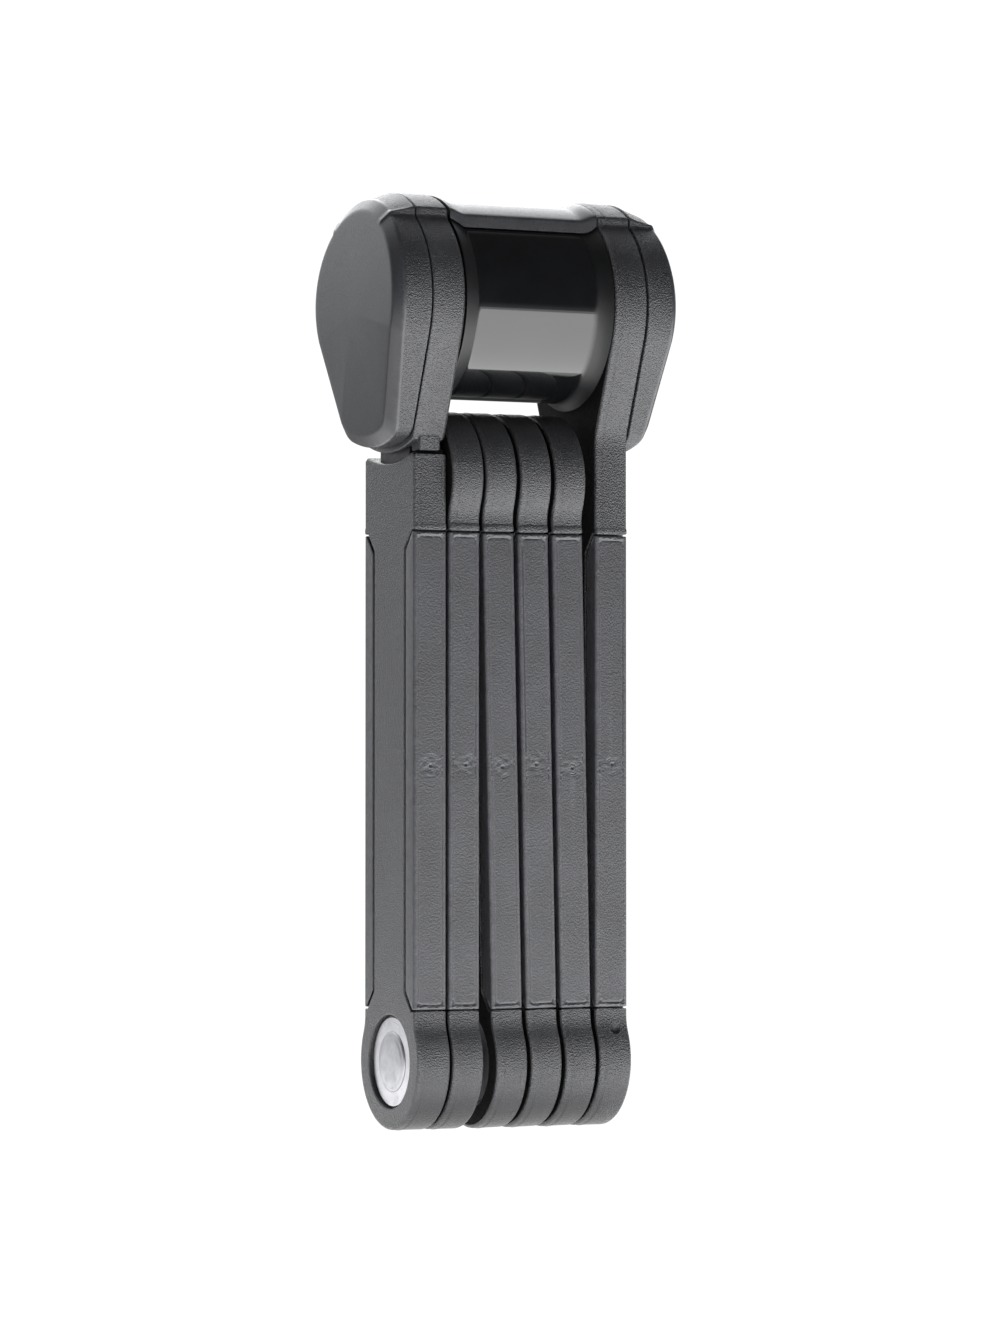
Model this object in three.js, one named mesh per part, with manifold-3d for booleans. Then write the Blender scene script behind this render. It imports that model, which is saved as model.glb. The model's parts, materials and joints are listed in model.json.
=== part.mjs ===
// Folding bike lock: six riveted, plastic covered steel links on a cylindrical lock body.
// Millimetres, +Z up. X runs along the lock barrel, Y from front (-) to back (+).
// The lock stands folded on the round ends of its links, with the origin under its middle.
import * as THREE from 'three';
import { mergeVertices } from 'three/addons/utils/BufferGeometryUtils.js';
import Module from 'manifold-3d';

const wasm = await Module();
wasm.setup();

// ---- driving dimensions -------------------------------------------------------------------

const GAP = 0.3; // clearance between neighbouring pieces
const LOOSE = 0.4; // clearance of the tongue in its slot and on the bolt
const SNUG = 0.15; // clearance of washers and of the rivet shanks
const FACETS = 32; // sides of a full circle
const SMALL_FACETS = 16;

const LOWER_PIVOT_Z = 16.28;
const LINK_LENGTH = 139; // between a link's two rivets
const UPPER_PIVOT_Z = LOWER_PIVOT_Z + LINK_LENGTH;
const LOCK_AXIS_Z = 197;

const LINK_THICKNESS = 8.2;
const OUTER_LINK_THICKNESS = 8.6; // the first and last link
const LINK_HALF_WIDTH = 13.8;
const LINK_END_RADIUS = 16.2;
const EDGE_CHAMFER = 0.6;
const LEAN = THREE.MathUtils.degToRad(1.15); // slack in the rivets lets the middle links lean

const LINK_X = { 1: 24.3, 2: 15.0, 3: 5.79, 4: -3.41, 5: -15.0, 6: -24.0 }; // at the lower rivets
const LEANING = [2, 3, 4];

const PLATE_THICKNESS = 5.5;
const PLATE_HALF_WIDTH = 12;
const PLATE_END_RADIUS = 14.3;
const SHANK_RADIUS = 5;
const SHANK_HOLE_RADIUS = 5.2;
const HEAD_RADIUS = 7.2;
const HEAD_HEIGHT = 0.55;
const HEAD_WASHER_RADIUS = 10.6;
const HEAD_WASHER_HEIGHT = 0.35;
const HEAD_RECESS_RADIUS = 11.15;
const SPACER_RADIUS = 8.2;
const SPACER_RECESS_RADIUS = 8.9;
const WASHER_TILT = 0.25; // a leaning plate's rim stands this far out under a washer

const PAD_LOW_Z = 28.8; // the edge pads run from here
const PAD_HIGH_Z = 142.2; // to here
const PAD_INNER_Y = 8.7;
const PAD_CORNER = 4.4; // height of the slanted corner at each end of a pad
const PAD_TIP_Y = 12.4; // where that slant meets the end of the pad

const HEAD_OUTER_RADIUS = 24.5; // collars and caps
const ROOF_RADIUS = 26.3;
const ROOF_EDGE_Y = 15;
const TAPER = THREE.MathUtils.degToRad(22); // the legs narrow at this angle
const COLLAR_FOOT_RADIUS = 35.7; // the left collar's lower end is round about the lock axis
const CAP_FOOT_RADIUS = 34.6;
const COVER_CROWN_RADIUS = 38.2; // the hollow top of the last link's cover, same centre
const COVER_HORN_Z = 160.4;

const COLLAR_LEFT = [-28.3, -19.7];
const HEAD_RIGHT = [20.0, 28.6];
const CAP_OUTER_X = 37.8;
const CAP_CROWN_RADIUS = 172;
const CAP_BEVEL_DEPTH = 1.8;
const CAP_BEVEL_WIDTH = 2.8;
const CAP_WALL = 2.2;
const CAP_CORNER_RADIUS = 5;
const CAP_HOLLOW_X = 33.5; // how far the hollow inside a cap reaches
const HEAD_FOOT_RADIUS = 34.5; // the first link's head meets its leg inside this radius
const LEG_TOP_BELOW_AXIS = 30;

const CORE_RADIUS = 12; // the hardened steel barrel
const FLANGE_RADIUS = 19;
const CORE_LEFT_X = -33;
const FLANGE_RIGHT_X = -16.5;
const CORE_RIGHT_X = 34.2;
const CYLINDER_BORE_RADIUS = 8.9;
const CYLINDER_BORE_LEFT_X = 9.4;

const TONGUE_X = -24.0;
const TONGUE_EYE_RADIUS = 11;
const TONGUE_NECK_HALF_WIDTH = 8;
const TONGUE_NECK_LOW_Z = 130; // in the coordinates of the last link
const TONGUE_SHOULDER_Z = 139.5;
const TONGUE_SLOT_HALF = 3.3; // half the slot's width in the collar
const TONGUE_SLOT_REACH = 60;
const TONGUE_SWING = THREE.MathUtils.degToRad(120); // how far the tongue turns in its slot
const BOLT_RADIUS = 5;
const BOLT_TIP_X = -19.9;
const BOLT_TAIL_X = 8.6;
const BOLT_BORE_RADIUS = 2.8;
const BOLT_BORE_LEFT_X = -11.5;
const DRIVE_ROD_RADIUS = 2.4;
const DRIVE_ROD_LEFT_X = -9.5;
const TAIL_DISC_RADIUS = 7.6;

const SLEEVE_RADIUS = 22.4;
const SLEEVE_INNER_RADIUS = 20.2;
const SLEEVE_FLARE_RADIUS = 24.2;
const SLEEVE_X = [-19.4, 19.7];
const SHOULDER_X = -15.2; // the sleeve's conical left shoulder ends here
const FLARE_X = 15.4; // and its curved right flare starts here

const STRIP_EDGE_Y = 14.4;
const STRIP_EDGE_Z = 217.4;
const STRIP_TOP_Z = 221.6;
const STRIP_FOOT_Z = 206; // hidden in the sleeve, which is cut away
const STRIP_DROP = 0.4; // the strip's ends lie this far under the collars' roofs

const PLUG_RADIUS = 6.1;
const LOCK_CYLINDER_X = [14.2, 34.9];
const KEYWAY = { halfWidth: 1.1, halfHeight: 4.2, startX: 17.2 };
const KEYHOLE_RADIUS = 7.2;

const TRACK_HALF_WIDTH = 9.6; // the right cap carries the track of the sliding keyhole cover
const TRACK_FLOOR_X = 35.3;
const TRACK_TRAVEL = 18.5;
const COVER_PLATE_X = [35.6, 36.9];
const RIB = { halfLength: 4.5, halfWidth: 0.45, top: 37.4 };
const RIB_HEIGHTS = [-2.6, 0, 2.6];

const GROOVE_X = [29.6, 31.2]; // round the barrel, for the retaining ring
const GROOVE_DEPTH = 1.2;
const RETAINER_X = [29.8, 31.0];
const RETAINER_REACH = 2.6;
const RETAINER_SLIT = 2.2;

const THROUGH = 9; // cutting tools reach this far to both sides of a link's middle

// ---- materials ----------------------------------------------------------------------------

const FINISHES = {
  textured_plastic: { color: 0x2b2c30, roughness: 0.55, metalness: 0 },
  satin_plastic: { color: 0x3a3b40, roughness: 0.42, metalness: 0 },
  pad_plastic: { color: 0x33343a, roughness: 0.5, metalness: 0 },
  gloss_plastic: { color: 0x08080a, roughness: 0.08, metalness: 0 },
  carrier_plastic: { color: 0x1c1c1e, roughness: 0.7, metalness: 0 },
  hardened_steel: { color: 0x8f9296, roughness: 0.35, metalness: 1 },
  zinc_steel: { color: 0xd5d8dc, roughness: 0.28, metalness: 1 },
  brass: { color: 0xb99a55, roughness: 0.35, metalness: 1 },
  nickel_silver: { color: 0xb4afa6, roughness: 0.3, metalness: 1 },
};

// ---- building helpers ---------------------------------------------------------------------

// Closed solid from a three.js geometry, with its faces turned outwards.
function solid(geometry) {
  const bare = geometry.clone();
  bare.deleteAttribute('normal');
  bare.deleteAttribute('uv');
  const merged = mergeVertices(bare, 1e-4);
  const triangles = [];
  const index = merged.index.array;
  for (let i = 0; i < index.length; i += 3) {
    const [a, b, c] = index.slice(i, i + 3);
    if (a !== b && b !== c && c !== a) triangles.push(a, b, c);
  }
  const vertProperties = new Float32Array(merged.attributes.position.array);
  const make = (list) => new wasm.Manifold(
    new wasm.Mesh({ numProp: 3, vertProperties, triVerts: new Uint32Array(list) }),
  );
  const body = make(triangles);
  return body.volume() > 0 ? body : make(triangles.reverse());
}

function toGeometry(body) {
  const mesh = body.getMesh();
  const geometry = new THREE.BufferGeometry();
  geometry.setAttribute('position', new THREE.BufferAttribute(mesh.vertProperties, 3));
  geometry.setIndex(new THREE.BufferAttribute(mesh.triVerts, 1));
  return geometry;
}

// Outline in (y, z), extruded along X from x0 to x1, with an optional chamfer on both ends.
function prism(outline, x0, x1, chamfer = 0) {
  const shape = new THREE.Shape(outline.map(([y, z]) => new THREE.Vector2(y, z)));
  const geometry = new THREE.ExtrudeGeometry(shape, {
    depth: x1 - x0 - 2 * chamfer,
    bevelEnabled: chamfer > 0,
    bevelThickness: chamfer,
    bevelSize: chamfer,
    bevelOffset: -chamfer,
    bevelSegments: 1,
  });
  geometry.translate(0, 0, x0 + chamfer);
  geometry.applyMatrix4(new THREE.Matrix4().set(0, 0, 1, 0, 1, 0, 0, 0, 0, 1, 0, 0, 0, 0, 0, 1));
  return solid(geometry);
}

// Profile in (x, radius), turned about the line parallel to X at the height z.
function turned(profile, z = 0, facets = FACETS) {
  const points = profile.map(([x, r]) => new THREE.Vector2(r, x));
  const geometry = new THREE.LatheGeometry(points, facets);
  geometry.applyMatrix4(new THREE.Matrix4().set(0, 1, 0, 0, 0, 0, 1, 0, 1, 0, 0, 0, 0, 0, 0, 1));
  geometry.translate(0, 0, z);
  return solid(geometry);
}

function rod(x0, x1, radius, z = 0, facets = FACETS) {
  return turned([[x0, 0], [x0, radius], [x1, radius], [x1, 0]], z, facets);
}

function ring(x0, x1, inner, outer, z = 0, facets = FACETS) {
  return turned([[x0, inner], [x0, outer], [x1, outer], [x1, inner], [x0, inner]], z, facets);
}

function block(x0, x1, y0, y1, z0, z1) {
  const geometry = new THREE.BoxGeometry(x1 - x0, y1 - y0, z1 - z0);
  geometry.translate((x0 + x1) / 2, (y0 + y1) / 2, (z0 + z1) / 2);
  return solid(geometry);
}

// Skin through closed rings of points, each with as many points, closed by a fan at both ends.
function loft(rings) {
  const count = rings[0].length;
  const positions = rings.flat().flatMap((p) => [p.x, p.y, p.z]);
  const index = [];
  for (let r = 0; r < rings.length - 1; r += 1) {
    for (let i = 0; i < count; i += 1) {
      const a = r * count + i;
      const b = r * count + (i + 1) % count;
      index.push(a, b, b + count, a, b + count, a + count);
    }
  }
  for (const [r, turn] of [[0, true], [rings.length - 1, false]]) {
    const middle = rings[r].reduce((sum, p) => sum.add(p), new THREE.Vector3());
    middle.divideScalar(count);
    const hub = positions.length / 3;
    positions.push(middle.x, middle.y, middle.z);
    for (let i = 0; i < count; i += 1) {
      const a = r * count + i;
      const b = r * count + (i + 1) % count;
      index.push(...(turn ? [b, a, hub] : [a, b, hub]));
    }
  }
  const geometry = new THREE.BufferGeometry();
  geometry.setAttribute('position', new THREE.Float32BufferAttribute(positions, 3));
  geometry.setIndex(index);
  return solid(geometry);
}

function arc(cy, cz, radius, from, to, steps) {
  const points = [];
  for (let i = 0; i <= steps; i += 1) {
    const angle = from + ((to - from) * i) / steps;
    points.push([cy + radius * Math.cos(angle), cz + radius * Math.sin(angle)]);
  }
  return points;
}

function combine(first, ...others) {
  return others.reduce((sum, next) => sum.add(next), first);
}

function cut(first, ...others) {
  return others.reduce((sum, next) => sum.subtract(next), first);
}

function piece(name, finish, body, parent) {
  const mesh = new THREE.Mesh(toGeometry(body), new THREE.MeshStandardMaterial(FINISHES[finish]));
  mesh.name = name;
  parent.add(mesh);
  return mesh;
}

// ---- outlines -----------------------------------------------------------------------------

// Teardrop about the lock axis: round on top, tapering legs, round foot about the same axis.
// The roof, from 0 to 1, raises the top between its two edges.
function teardrop({ grow = 0, roof = 0, foot = COLLAR_FOOT_RADIUS, corner = 1 } = {}) {
  const radius = HEAD_OUTER_RADIUS + grow;
  const footRadius = foot + grow;
  const along = Math.sqrt((footRadius - corner) ** 2 - (radius - corner) ** 2);
  const side = new THREE.Vector2(Math.cos(TAPER), -Math.sin(TAPER));
  const down = new THREE.Vector2(-Math.sin(TAPER), -Math.cos(TAPER));
  const centre = side.multiplyScalar(radius - corner).addScaledVector(down, along);
  const footAngle = Math.atan2(centre.y, centre.x);
  const edgeAngle = Math.acos(ROOF_EDGE_Y / ROOF_RADIUS);
  const lipAngle = Math.acos(ROOF_EDGE_Y / HEAD_OUTER_RADIUS);
  const roofRadius = radius + roof * (ROOF_RADIUS - HEAD_OUTER_RADIUS);
  const half = [
    ...arc(0, 0, footRadius, -Math.PI / 2, footAngle, 4).slice(1, -1),
    ...arc(centre.x, centre.y, corner, footAngle, -TAPER, 4),
    ...arc(0, 0, radius, -TAPER, lipAngle, 10),
    ...arc(0, 0, roofRadius, edgeAngle, Math.PI / 2, 6),
  ];
  const mirrored = half.slice(0, -1).reverse().map(([y, z]) => [-y, z]);
  return [[0, -footRadius], ...half, ...mirrored].map(([y, z]) => [y, z + LOCK_AXIS_Z]);
}

// A link's outline: straight flanks between two wider round ends, or from a round end upwards.
function linkOutline(halfWidth, endRadius, topZ = null) {
  const reach = Math.sqrt(endRadius ** 2 - halfWidth ** 2);
  const spread = Math.atan2(reach, halfWidth);
  const lower = arc(0, 0, endRadius, -Math.PI - spread, spread, FACETS / 2);
  if (topZ !== null) return [...lower, [halfWidth, topZ], [-halfWidth, topZ]];
  const upper = arc(0, LINK_LENGTH, endRadius, -spread, Math.PI + spread, FACETS / 2);
  return [...lower, ...upper];
}

// One edge pad's outline on the side of +Y, in link coordinates.
function padOutline(grow) {
  const low = PAD_LOW_Z - LOWER_PIVOT_Z - grow;
  const high = PAD_HIGH_Z - LOWER_PIVOT_Z + grow;
  const inner = PAD_INNER_Y - grow;
  const tip = PAD_TIP_Y - grow;
  const outer = LINK_END_RADIUS + 2;
  return [
    [tip, low], [outer, low], [outer, high], [tip, high],
    [inner, high - PAD_CORNER], [inner, low + PAD_CORNER],
  ];
}

const mirrorY = (points) => points.map(([y, z]) => [-y, z]).reverse();

// The space that the last link's tongue needs to turn in the collar and to leave it backwards.
function tongueSlot(x0, x1) {
  const reach = TONGUE_SLOT_REACH;
  const edge = TONGUE_NECK_HALF_WIDTH + LOOSE;
  const toward = [Math.sin(TONGUE_SWING), -Math.cos(TONGUE_SWING)];
  const above = [-toward[1] * edge, toward[0] * edge];
  const fan = [
    [-edge, LOCK_AXIS_Z - reach], [reach, LOCK_AXIS_Z - reach],
    [above[0] + toward[0] * reach, LOCK_AXIS_Z + above[1] + toward[1] * reach],
    [above[0], LOCK_AXIS_Z + above[1]], [-edge, LOCK_AXIS_Z],
  ];
  return combine(prism(fan, x0, x1), rod(x0, x1, TONGUE_EYE_RADIUS + LOOSE, LOCK_AXIS_Z));
}

// ---- links --------------------------------------------------------------------------------

const headZ = LOCK_AXIS_Z - LOWER_PIVOT_Z; // the lock axis in the coordinates of an upright link

// Steel core plate, in link coordinates: origin at the lower rivet, Z along the link.
function linkPlate(number) {
  const half = PLATE_THICKNESS / 2;
  const bore = (radius, z, facets = SMALL_FACETS) => rod(-THROUGH, THROUGH, radius, z, facets);
  const shankHole = bore(SHANK_HOLE_RADIUS, 0);
  if (number === 1) {
    const bar = prism(linkOutline(PLATE_HALF_WIDTH, PLATE_END_RADIUS, headZ), -half, half);
    const eye = rod(-half, half, FLANGE_RADIUS, headZ);
    return cut(combine(bar, eye), shankHole, bore(CORE_RADIUS + GAP, headZ, FACETS));
  }
  if (number === 6) {
    const outline = linkOutline(PLATE_HALF_WIDTH, PLATE_END_RADIUS, TONGUE_SHOULDER_Z);
    const side = TONGUE_NECK_HALF_WIDTH;
    const neck = block(-half, half, -side, side, TONGUE_NECK_LOW_Z, headZ);
    const eye = rod(-half, half, TONGUE_EYE_RADIUS, headZ);
    const tongue = combine(prism(outline, -half, half), neck, eye);
    return cut(tongue, shankHole, bore(BOLT_RADIUS + LOOSE, headZ));
  }
  const bar = prism(linkOutline(PLATE_HALF_WIDTH, PLATE_END_RADIUS), -half, half);
  return cut(bar, shankHole, bore(SHANK_HOLE_RADIUS, LINK_LENGTH));
}

// Room for the core plate inside the plastic.
function platePocket(number) {
  const half = PLATE_THICKNESS / 2 + GAP;
  const width = PLATE_HALF_WIDTH + GAP;
  const end = PLATE_END_RADIUS + GAP;
  if (number === 1) {
    const bar = prism(linkOutline(width, end, headZ), -half, half);
    return combine(bar, rod(-half, half, FLANGE_RADIUS + GAP, headZ));
  }
  if (number === 6) {
    const bar = prism(linkOutline(width, end, TONGUE_SHOULDER_Z + GAP), -half, half);
    const side = TONGUE_NECK_HALF_WIDTH + GAP;
    return combine(bar, block(-half, half, -side, side, TONGUE_NECK_LOW_Z, headZ));
  }
  return prism(linkOutline(width, end), -half, half);
}

function linkEnvelope(number) {
  const outer = number === 1 || number === 6;
  const half = (outer ? OUTER_LINK_THICKNESS : LINK_THICKNESS) / 2;
  if (number === 1) {
    const top = headZ - LEG_TOP_BELOW_AXIS;
    const outline = linkOutline(LINK_HALF_WIDTH, LINK_END_RADIUS, top);
    const head = teardrop({ roof: 1, foot: HEAD_FOOT_RADIUS });
    const lowered = head.map(([y, z]) => [y, z - LOWER_PIVOT_Z]);
    return combine(
      prism(outline, -half, half, EDGE_CHAMFER),
      prism(lowered, -half, half, EDGE_CHAMFER),
    );
  }
  if (number === 6) {
    const top = COVER_HORN_Z - LOWER_PIVOT_Z;
    const outline = linkOutline(LINK_HALF_WIDTH, LINK_END_RADIUS, top);
    const body = prism(outline, -half, half, EDGE_CHAMFER);
    return cut(body, rod(-THROUGH, THROUGH, COVER_CROWN_RADIUS, headZ, FACETS * 2));
  }
  return prism(linkOutline(LINK_HALF_WIDTH, LINK_END_RADIUS), -half, half, EDGE_CHAMFER);
}

// Which way (+1 or -1 along X) the neighbour riveted at this link's lower end lies.
// At the upper end it lies the other way.
const partnerSide = (number) => (number % 2 === 0 ? 1 : -1);

// Round recesses for the rivet at height z: the spacer's towards the neighbour, the head's away.
function rivetRecesses(side, z) {
  const toward = side > 0 ? [0, THROUGH] : [-THROUGH, 0];
  const away = side > 0 ? [-THROUGH, 0] : [0, THROUGH];
  return [
    rod(...toward, SPACER_RECESS_RADIUS, z, SMALL_FACETS),
    rod(...away, HEAD_RECESS_RADIUS, z, SMALL_FACETS * 1.5),
  ];
}

function linkCover(number) {
  const pads = [padOutline(SNUG), mirrorY(padOutline(SNUG))];
  const tools = pads.map((outline) => prism(outline, -THROUGH, THROUGH));
  tools.push(platePocket(number), ...rivetRecesses(partnerSide(number), 0));
  const riveted = number !== 1 && number !== 6;
  if (riveted) tools.push(...rivetRecesses(-partnerSide(number), LINK_LENGTH));
  if (number === 1) tools.push(rod(-THROUGH, THROUGH, CORE_RADIUS + LOOSE, headZ));
  return cut(linkEnvelope(number), ...tools);
}

function linkPad(number, outline) {
  const whole = linkEnvelope(number).intersect(prism(outline, -THROUGH, THROUGH));
  return whole.subtract(platePocket(number));
}

function makeLink(number) {
  const group = new THREE.Group();
  group.position.set(LINK_X[number], 0, LOWER_PIVOT_Z);
  if (LEANING.includes(number)) group.rotation.y = -LEAN;
  piece(`link_${number}_core_plate`, 'hardened_steel', linkPlate(number), group);
  piece(`link_${number}_cover`, 'textured_plastic', linkCover(number), group);
  const rearPad = padOutline(-SNUG);
  piece(`link_${number}_rear_pad`, 'pad_plastic', linkPad(number, rearPad), group);
  piece(`link_${number}_front_pad`, 'pad_plastic', linkPad(number, mirrorY(rearPad)), group);
  return group;
}

// Middle of a link's thickness at the height of its upper rivet.
function upperX(number) {
  return LINK_X[number] - (LEANING.includes(number) ? LINK_LENGTH * Math.sin(LEAN) : 0);
}

// Rivet through two neighbouring plates, with head washers outside and a spacer between.
function makeRivet(left, right, z) {
  const group = new THREE.Group();
  const middleOf = z === LOWER_PIVOT_Z ? (n) => LINK_X[n] : upperX;
  const half = PLATE_THICKNESS / 2;
  const x0 = middleOf(left) - half;
  const x1 = middleOf(right) + half;
  const name = `rivet_${Math.min(left, right)}_${Math.max(left, right)}`;
  const washerTop = WASHER_TILT + HEAD_WASHER_HEIGHT;
  const headBase = washerTop + 0.05;
  const headTop = headBase + HEAD_HEIGHT;
  const dome = [
    [-headTop, 0], [-headTop + 0.2, HEAD_RADIUS * 0.85],
    [-headBase, HEAD_RADIUS], [-headBase, SHANK_RADIUS],
  ];
  const leftEnd = dome.map(([x, r]) => [x0 + x, r]);
  const rightEnd = dome.map(([x, r]) => [x1 - x, r]).reverse();
  piece(name, 'zinc_steel', turned([...leftEnd, ...rightEnd], z, SMALL_FACETS), group);
  const hole = SHANK_RADIUS + SNUG;
  const washer = (from, to) => ring(from, to, hole, HEAD_WASHER_RADIUS, z, SMALL_FACETS);
  piece(`${name}_left_washer`, 'zinc_steel', washer(x0 - washerTop, x0 - WASHER_TILT), group);
  piece(`${name}_right_washer`, 'zinc_steel', washer(x1 + WASHER_TILT, x1 + washerTop), group);
  const inner = [middleOf(left) + half + WASHER_TILT, middleOf(right) - half - WASHER_TILT];
  const spacer = ring(...inner, hole, SPACER_RADIUS, z, SMALL_FACETS);
  piece(`${name}_spacer`, 'carrier_plastic', spacer, group);
  return group;
}

// ---- lock body ----------------------------------------------------------------------------

function leftCollar() {
  const [x0, x1] = COLLAR_LEFT;
  const shell = prism(teardrop({ roof: 1 }), x0, x1, 0.4);
  const slot = tongueSlot(TONGUE_X - TONGUE_SLOT_HALF, TONGUE_X + TONGUE_SLOT_HALF);
  return cut(shell, rod(x0 - 1, x1 + 1, FLANGE_RADIUS + GAP, LOCK_AXIS_Z), slot);
}

// Hardened barrel and the forked end that takes the tongue, in one forging.
function lockCore() {
  const half = PLATE_THICKNESS / 2 + GAP;
  const [groove0, groove1] = GROOVE_X;
  const bottom = CORE_RADIUS - GROOVE_DEPTH;
  const outside = turned([
    [CORE_LEFT_X, 0], [CORE_LEFT_X, FLANGE_RADIUS - 1], [CORE_LEFT_X + 1, FLANGE_RADIUS],
    [FLANGE_RIGHT_X, FLANGE_RADIUS], [FLANGE_RIGHT_X, CORE_RADIUS], [groove0, CORE_RADIUS],
    [groove0, bottom], [groove1, bottom], [groove1, CORE_RADIUS],
    [CORE_RIGHT_X, CORE_RADIUS], [CORE_RIGHT_X, 0],
  ], LOCK_AXIS_Z);
  return cut(
    outside,
    tongueSlot(TONGUE_X - half, TONGUE_X + half),
    rod(CORE_LEFT_X + 1, CYLINDER_BORE_LEFT_X + 1, BOLT_RADIUS + GAP, LOCK_AXIS_Z, SMALL_FACETS),
    rod(CYLINDER_BORE_LEFT_X, CORE_RIGHT_X + 1, CYLINDER_BORE_RADIUS, LOCK_AXIS_Z, SMALL_FACETS),
  );
}

// Outside of the glossy sleeve: conical shoulder on the left, concave flare on the right.
function sleeveProfile(grow) {
  const [x0, x1] = SLEEVE_X;
  const flare = [];
  const steps = 5;
  for (let i = 0; i <= steps; i += 1) {
    const t = i / steps;
    const rise = (SLEEVE_FLARE_RADIUS - SLEEVE_RADIUS) * t ** 2.2;
    flare.push([FLARE_X + (x1 - FLARE_X) * t, SLEEVE_RADIUS + rise + grow]);
  }
  return [[x0, SLEEVE_FLARE_RADIUS + grow], [SHOULDER_X, SLEEVE_RADIUS + grow], ...flare];
}

function glossSleeve() {
  const [x0, x1] = SLEEVE_X;
  const inner = SLEEVE_INNER_RADIUS;
  return turned([...sleeveProfile(0), [x1, inner], [x0, inner], sleeveProfile(0)[0]], LOCK_AXIS_Z);
}

// Plastic tube between the barrel and the sleeve.
function sleeveCarrier() {
  const inner = CORE_RADIUS + GAP;
  return ring(FLANGE_RIGHT_X + GAP, SLEEVE_X[1], inner, SLEEVE_INNER_RADIUS - GAP, LOCK_AXIS_Z);
}

// Satin strip along the top of the sleeve. It rises to the collars' roofs at both ends.
function topStrip() {
  const steps = 8;
  const section = (x, edgeY, edgeZ, topZ) => {
    const sagitta = topZ - edgeZ;
    const radius = (edgeY ** 2 + sagitta ** 2) / (2 * sagitta);
    const spread = Math.asin(edgeY / radius);
    const over = arc(0, topZ - radius, radius, Math.PI / 2 - spread, Math.PI / 2 + spread, steps);
    const foot = [[-edgeY, STRIP_FOOT_Z], [edgeY, STRIP_FOOT_Z]];
    return [...over, ...foot].map(([y, z]) => new THREE.Vector3(x, y, z));
  };
  const roofEdgeZ = LOCK_AXIS_Z + Math.sqrt(ROOF_RADIUS ** 2 - ROOF_EDGE_Y ** 2);
  const high = [ROOF_EDGE_Y, roofEdgeZ, LOCK_AXIS_Z + ROOF_RADIUS - STRIP_DROP];
  const [x0, x1] = SLEEVE_X;
  const low = [STRIP_EDGE_Y, STRIP_EDGE_Z, STRIP_TOP_Z];
  const body = loft([
    section(x0, ...high), section(SHOULDER_X + 0.6, ...low),
    section(FLARE_X + 1.6, ...low), section(x1, ...high),
  ]);
  const [, ...rest] = sleeveProfile(GAP);
  const envelope = [
    [x0 - 1, 0], [x0 - 1, SLEEVE_FLARE_RADIUS + GAP + 0.2], ...rest,
    [x1 + 1, SLEEVE_FLARE_RADIUS + GAP], [x1 + 1, 0],
  ];
  return cut(body, turned(envelope, LOCK_AXIS_Z));
}

// Crowned end cap, built for the right side (x > 0) and mirrored for the left.
function endCap(innerX) {
  const foot = CAP_FOOT_RADIUS;
  const corner = CAP_CORNER_RADIUS;
  const outline = (grow, roof) => teardrop({ grow, roof, foot, corner });
  const crown = (z) => {
    const rise = z - (LOCK_AXIS_Z + 1);
    return CAP_CROWN_RADIUS - Math.sqrt(CAP_CROWN_RADIUS ** 2 - rise ** 2);
  };
  const lay = (points, x) => points.map(([y, z]) => new THREE.Vector3(x, y, z));
  const layCrowned = (points, depth) => points.map(
    ([y, z]) => new THREE.Vector3(CAP_OUTER_X - depth - crown(z), y, z),
  );
  const face = outline(-CAP_BEVEL_WIDTH, 0);
  const towardMiddle = (scale) => face.map(
    ([y, z]) => [y * scale, LOCK_AXIS_Z - 3 + (z - LOCK_AXIS_Z + 3) * scale],
  );
  const outside = loft([
    lay(outline(0, 1), innerX),
    layCrowned(outline(0, 0.1), CAP_BEVEL_DEPTH),
    layCrowned(face, 0),
    layCrowned(towardMiddle(0.55), 0),
  ]);
  const hollow = teardrop({ grow: -CAP_WALL, foot, corner: corner - 1 });
  return cut(outside, prism(hollow, innerX - 1, CAP_HOLLOW_X));
}

function leftEndCap() {
  return endCap(-COLLAR_LEFT[0] + GAP).mirror([1, 0, 0]);
}

function stadium(halfWidth, lowZ, highZ) {
  return [
    ...arc(0, highZ, halfWidth, 0, Math.PI, SMALL_FACETS / 2),
    ...arc(0, lowZ, halfWidth, Math.PI, 2 * Math.PI, SMALL_FACETS / 2),
  ];
}

// The right cap opens on the key plug and carries the track of the sliding keyhole cover.
function rightEndCap() {
  const track = stadium(TRACK_HALF_WIDTH, LOCK_AXIS_Z - TRACK_TRAVEL, LOCK_AXIS_Z);
  return cut(
    endCap(HEAD_RIGHT[1] + GAP),
    prism(track, TRACK_FLOOR_X, CAP_OUTER_X + 1),
    rod(CAP_HOLLOW_X - 0.5, CAP_OUTER_X + 1, KEYHOLE_RADIUS, LOCK_AXIS_Z, SMALL_FACETS),
    rod(CAP_HOLLOW_X - 0.5, LOCK_CYLINDER_X[1], CORE_RADIUS + GAP, LOCK_AXIS_Z),
  );
}

function keyholeCover() {
  const radius = TRACK_HALF_WIDTH - GAP;
  const plate = rod(...COVER_PLATE_X, radius, LOCK_AXIS_Z, FACETS);
  const { halfLength, halfWidth, top } = RIB;
  const ribs = RIB_HEIGHTS.map((height) => {
    const z = LOCK_AXIS_Z + height;
    const base = COVER_PLATE_X[1] - 0.1;
    return block(base, top, -halfLength, halfLength, z - halfWidth, z + halfWidth);
  });
  return combine(plate, ...ribs);
}

function lockCylinder() {
  const [x0, x1] = LOCK_CYLINDER_X;
  return ring(x0, x1, PLUG_RADIUS + GAP, CYLINDER_BORE_RADIUS - GAP, LOCK_AXIS_Z, SMALL_FACETS);
}

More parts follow.
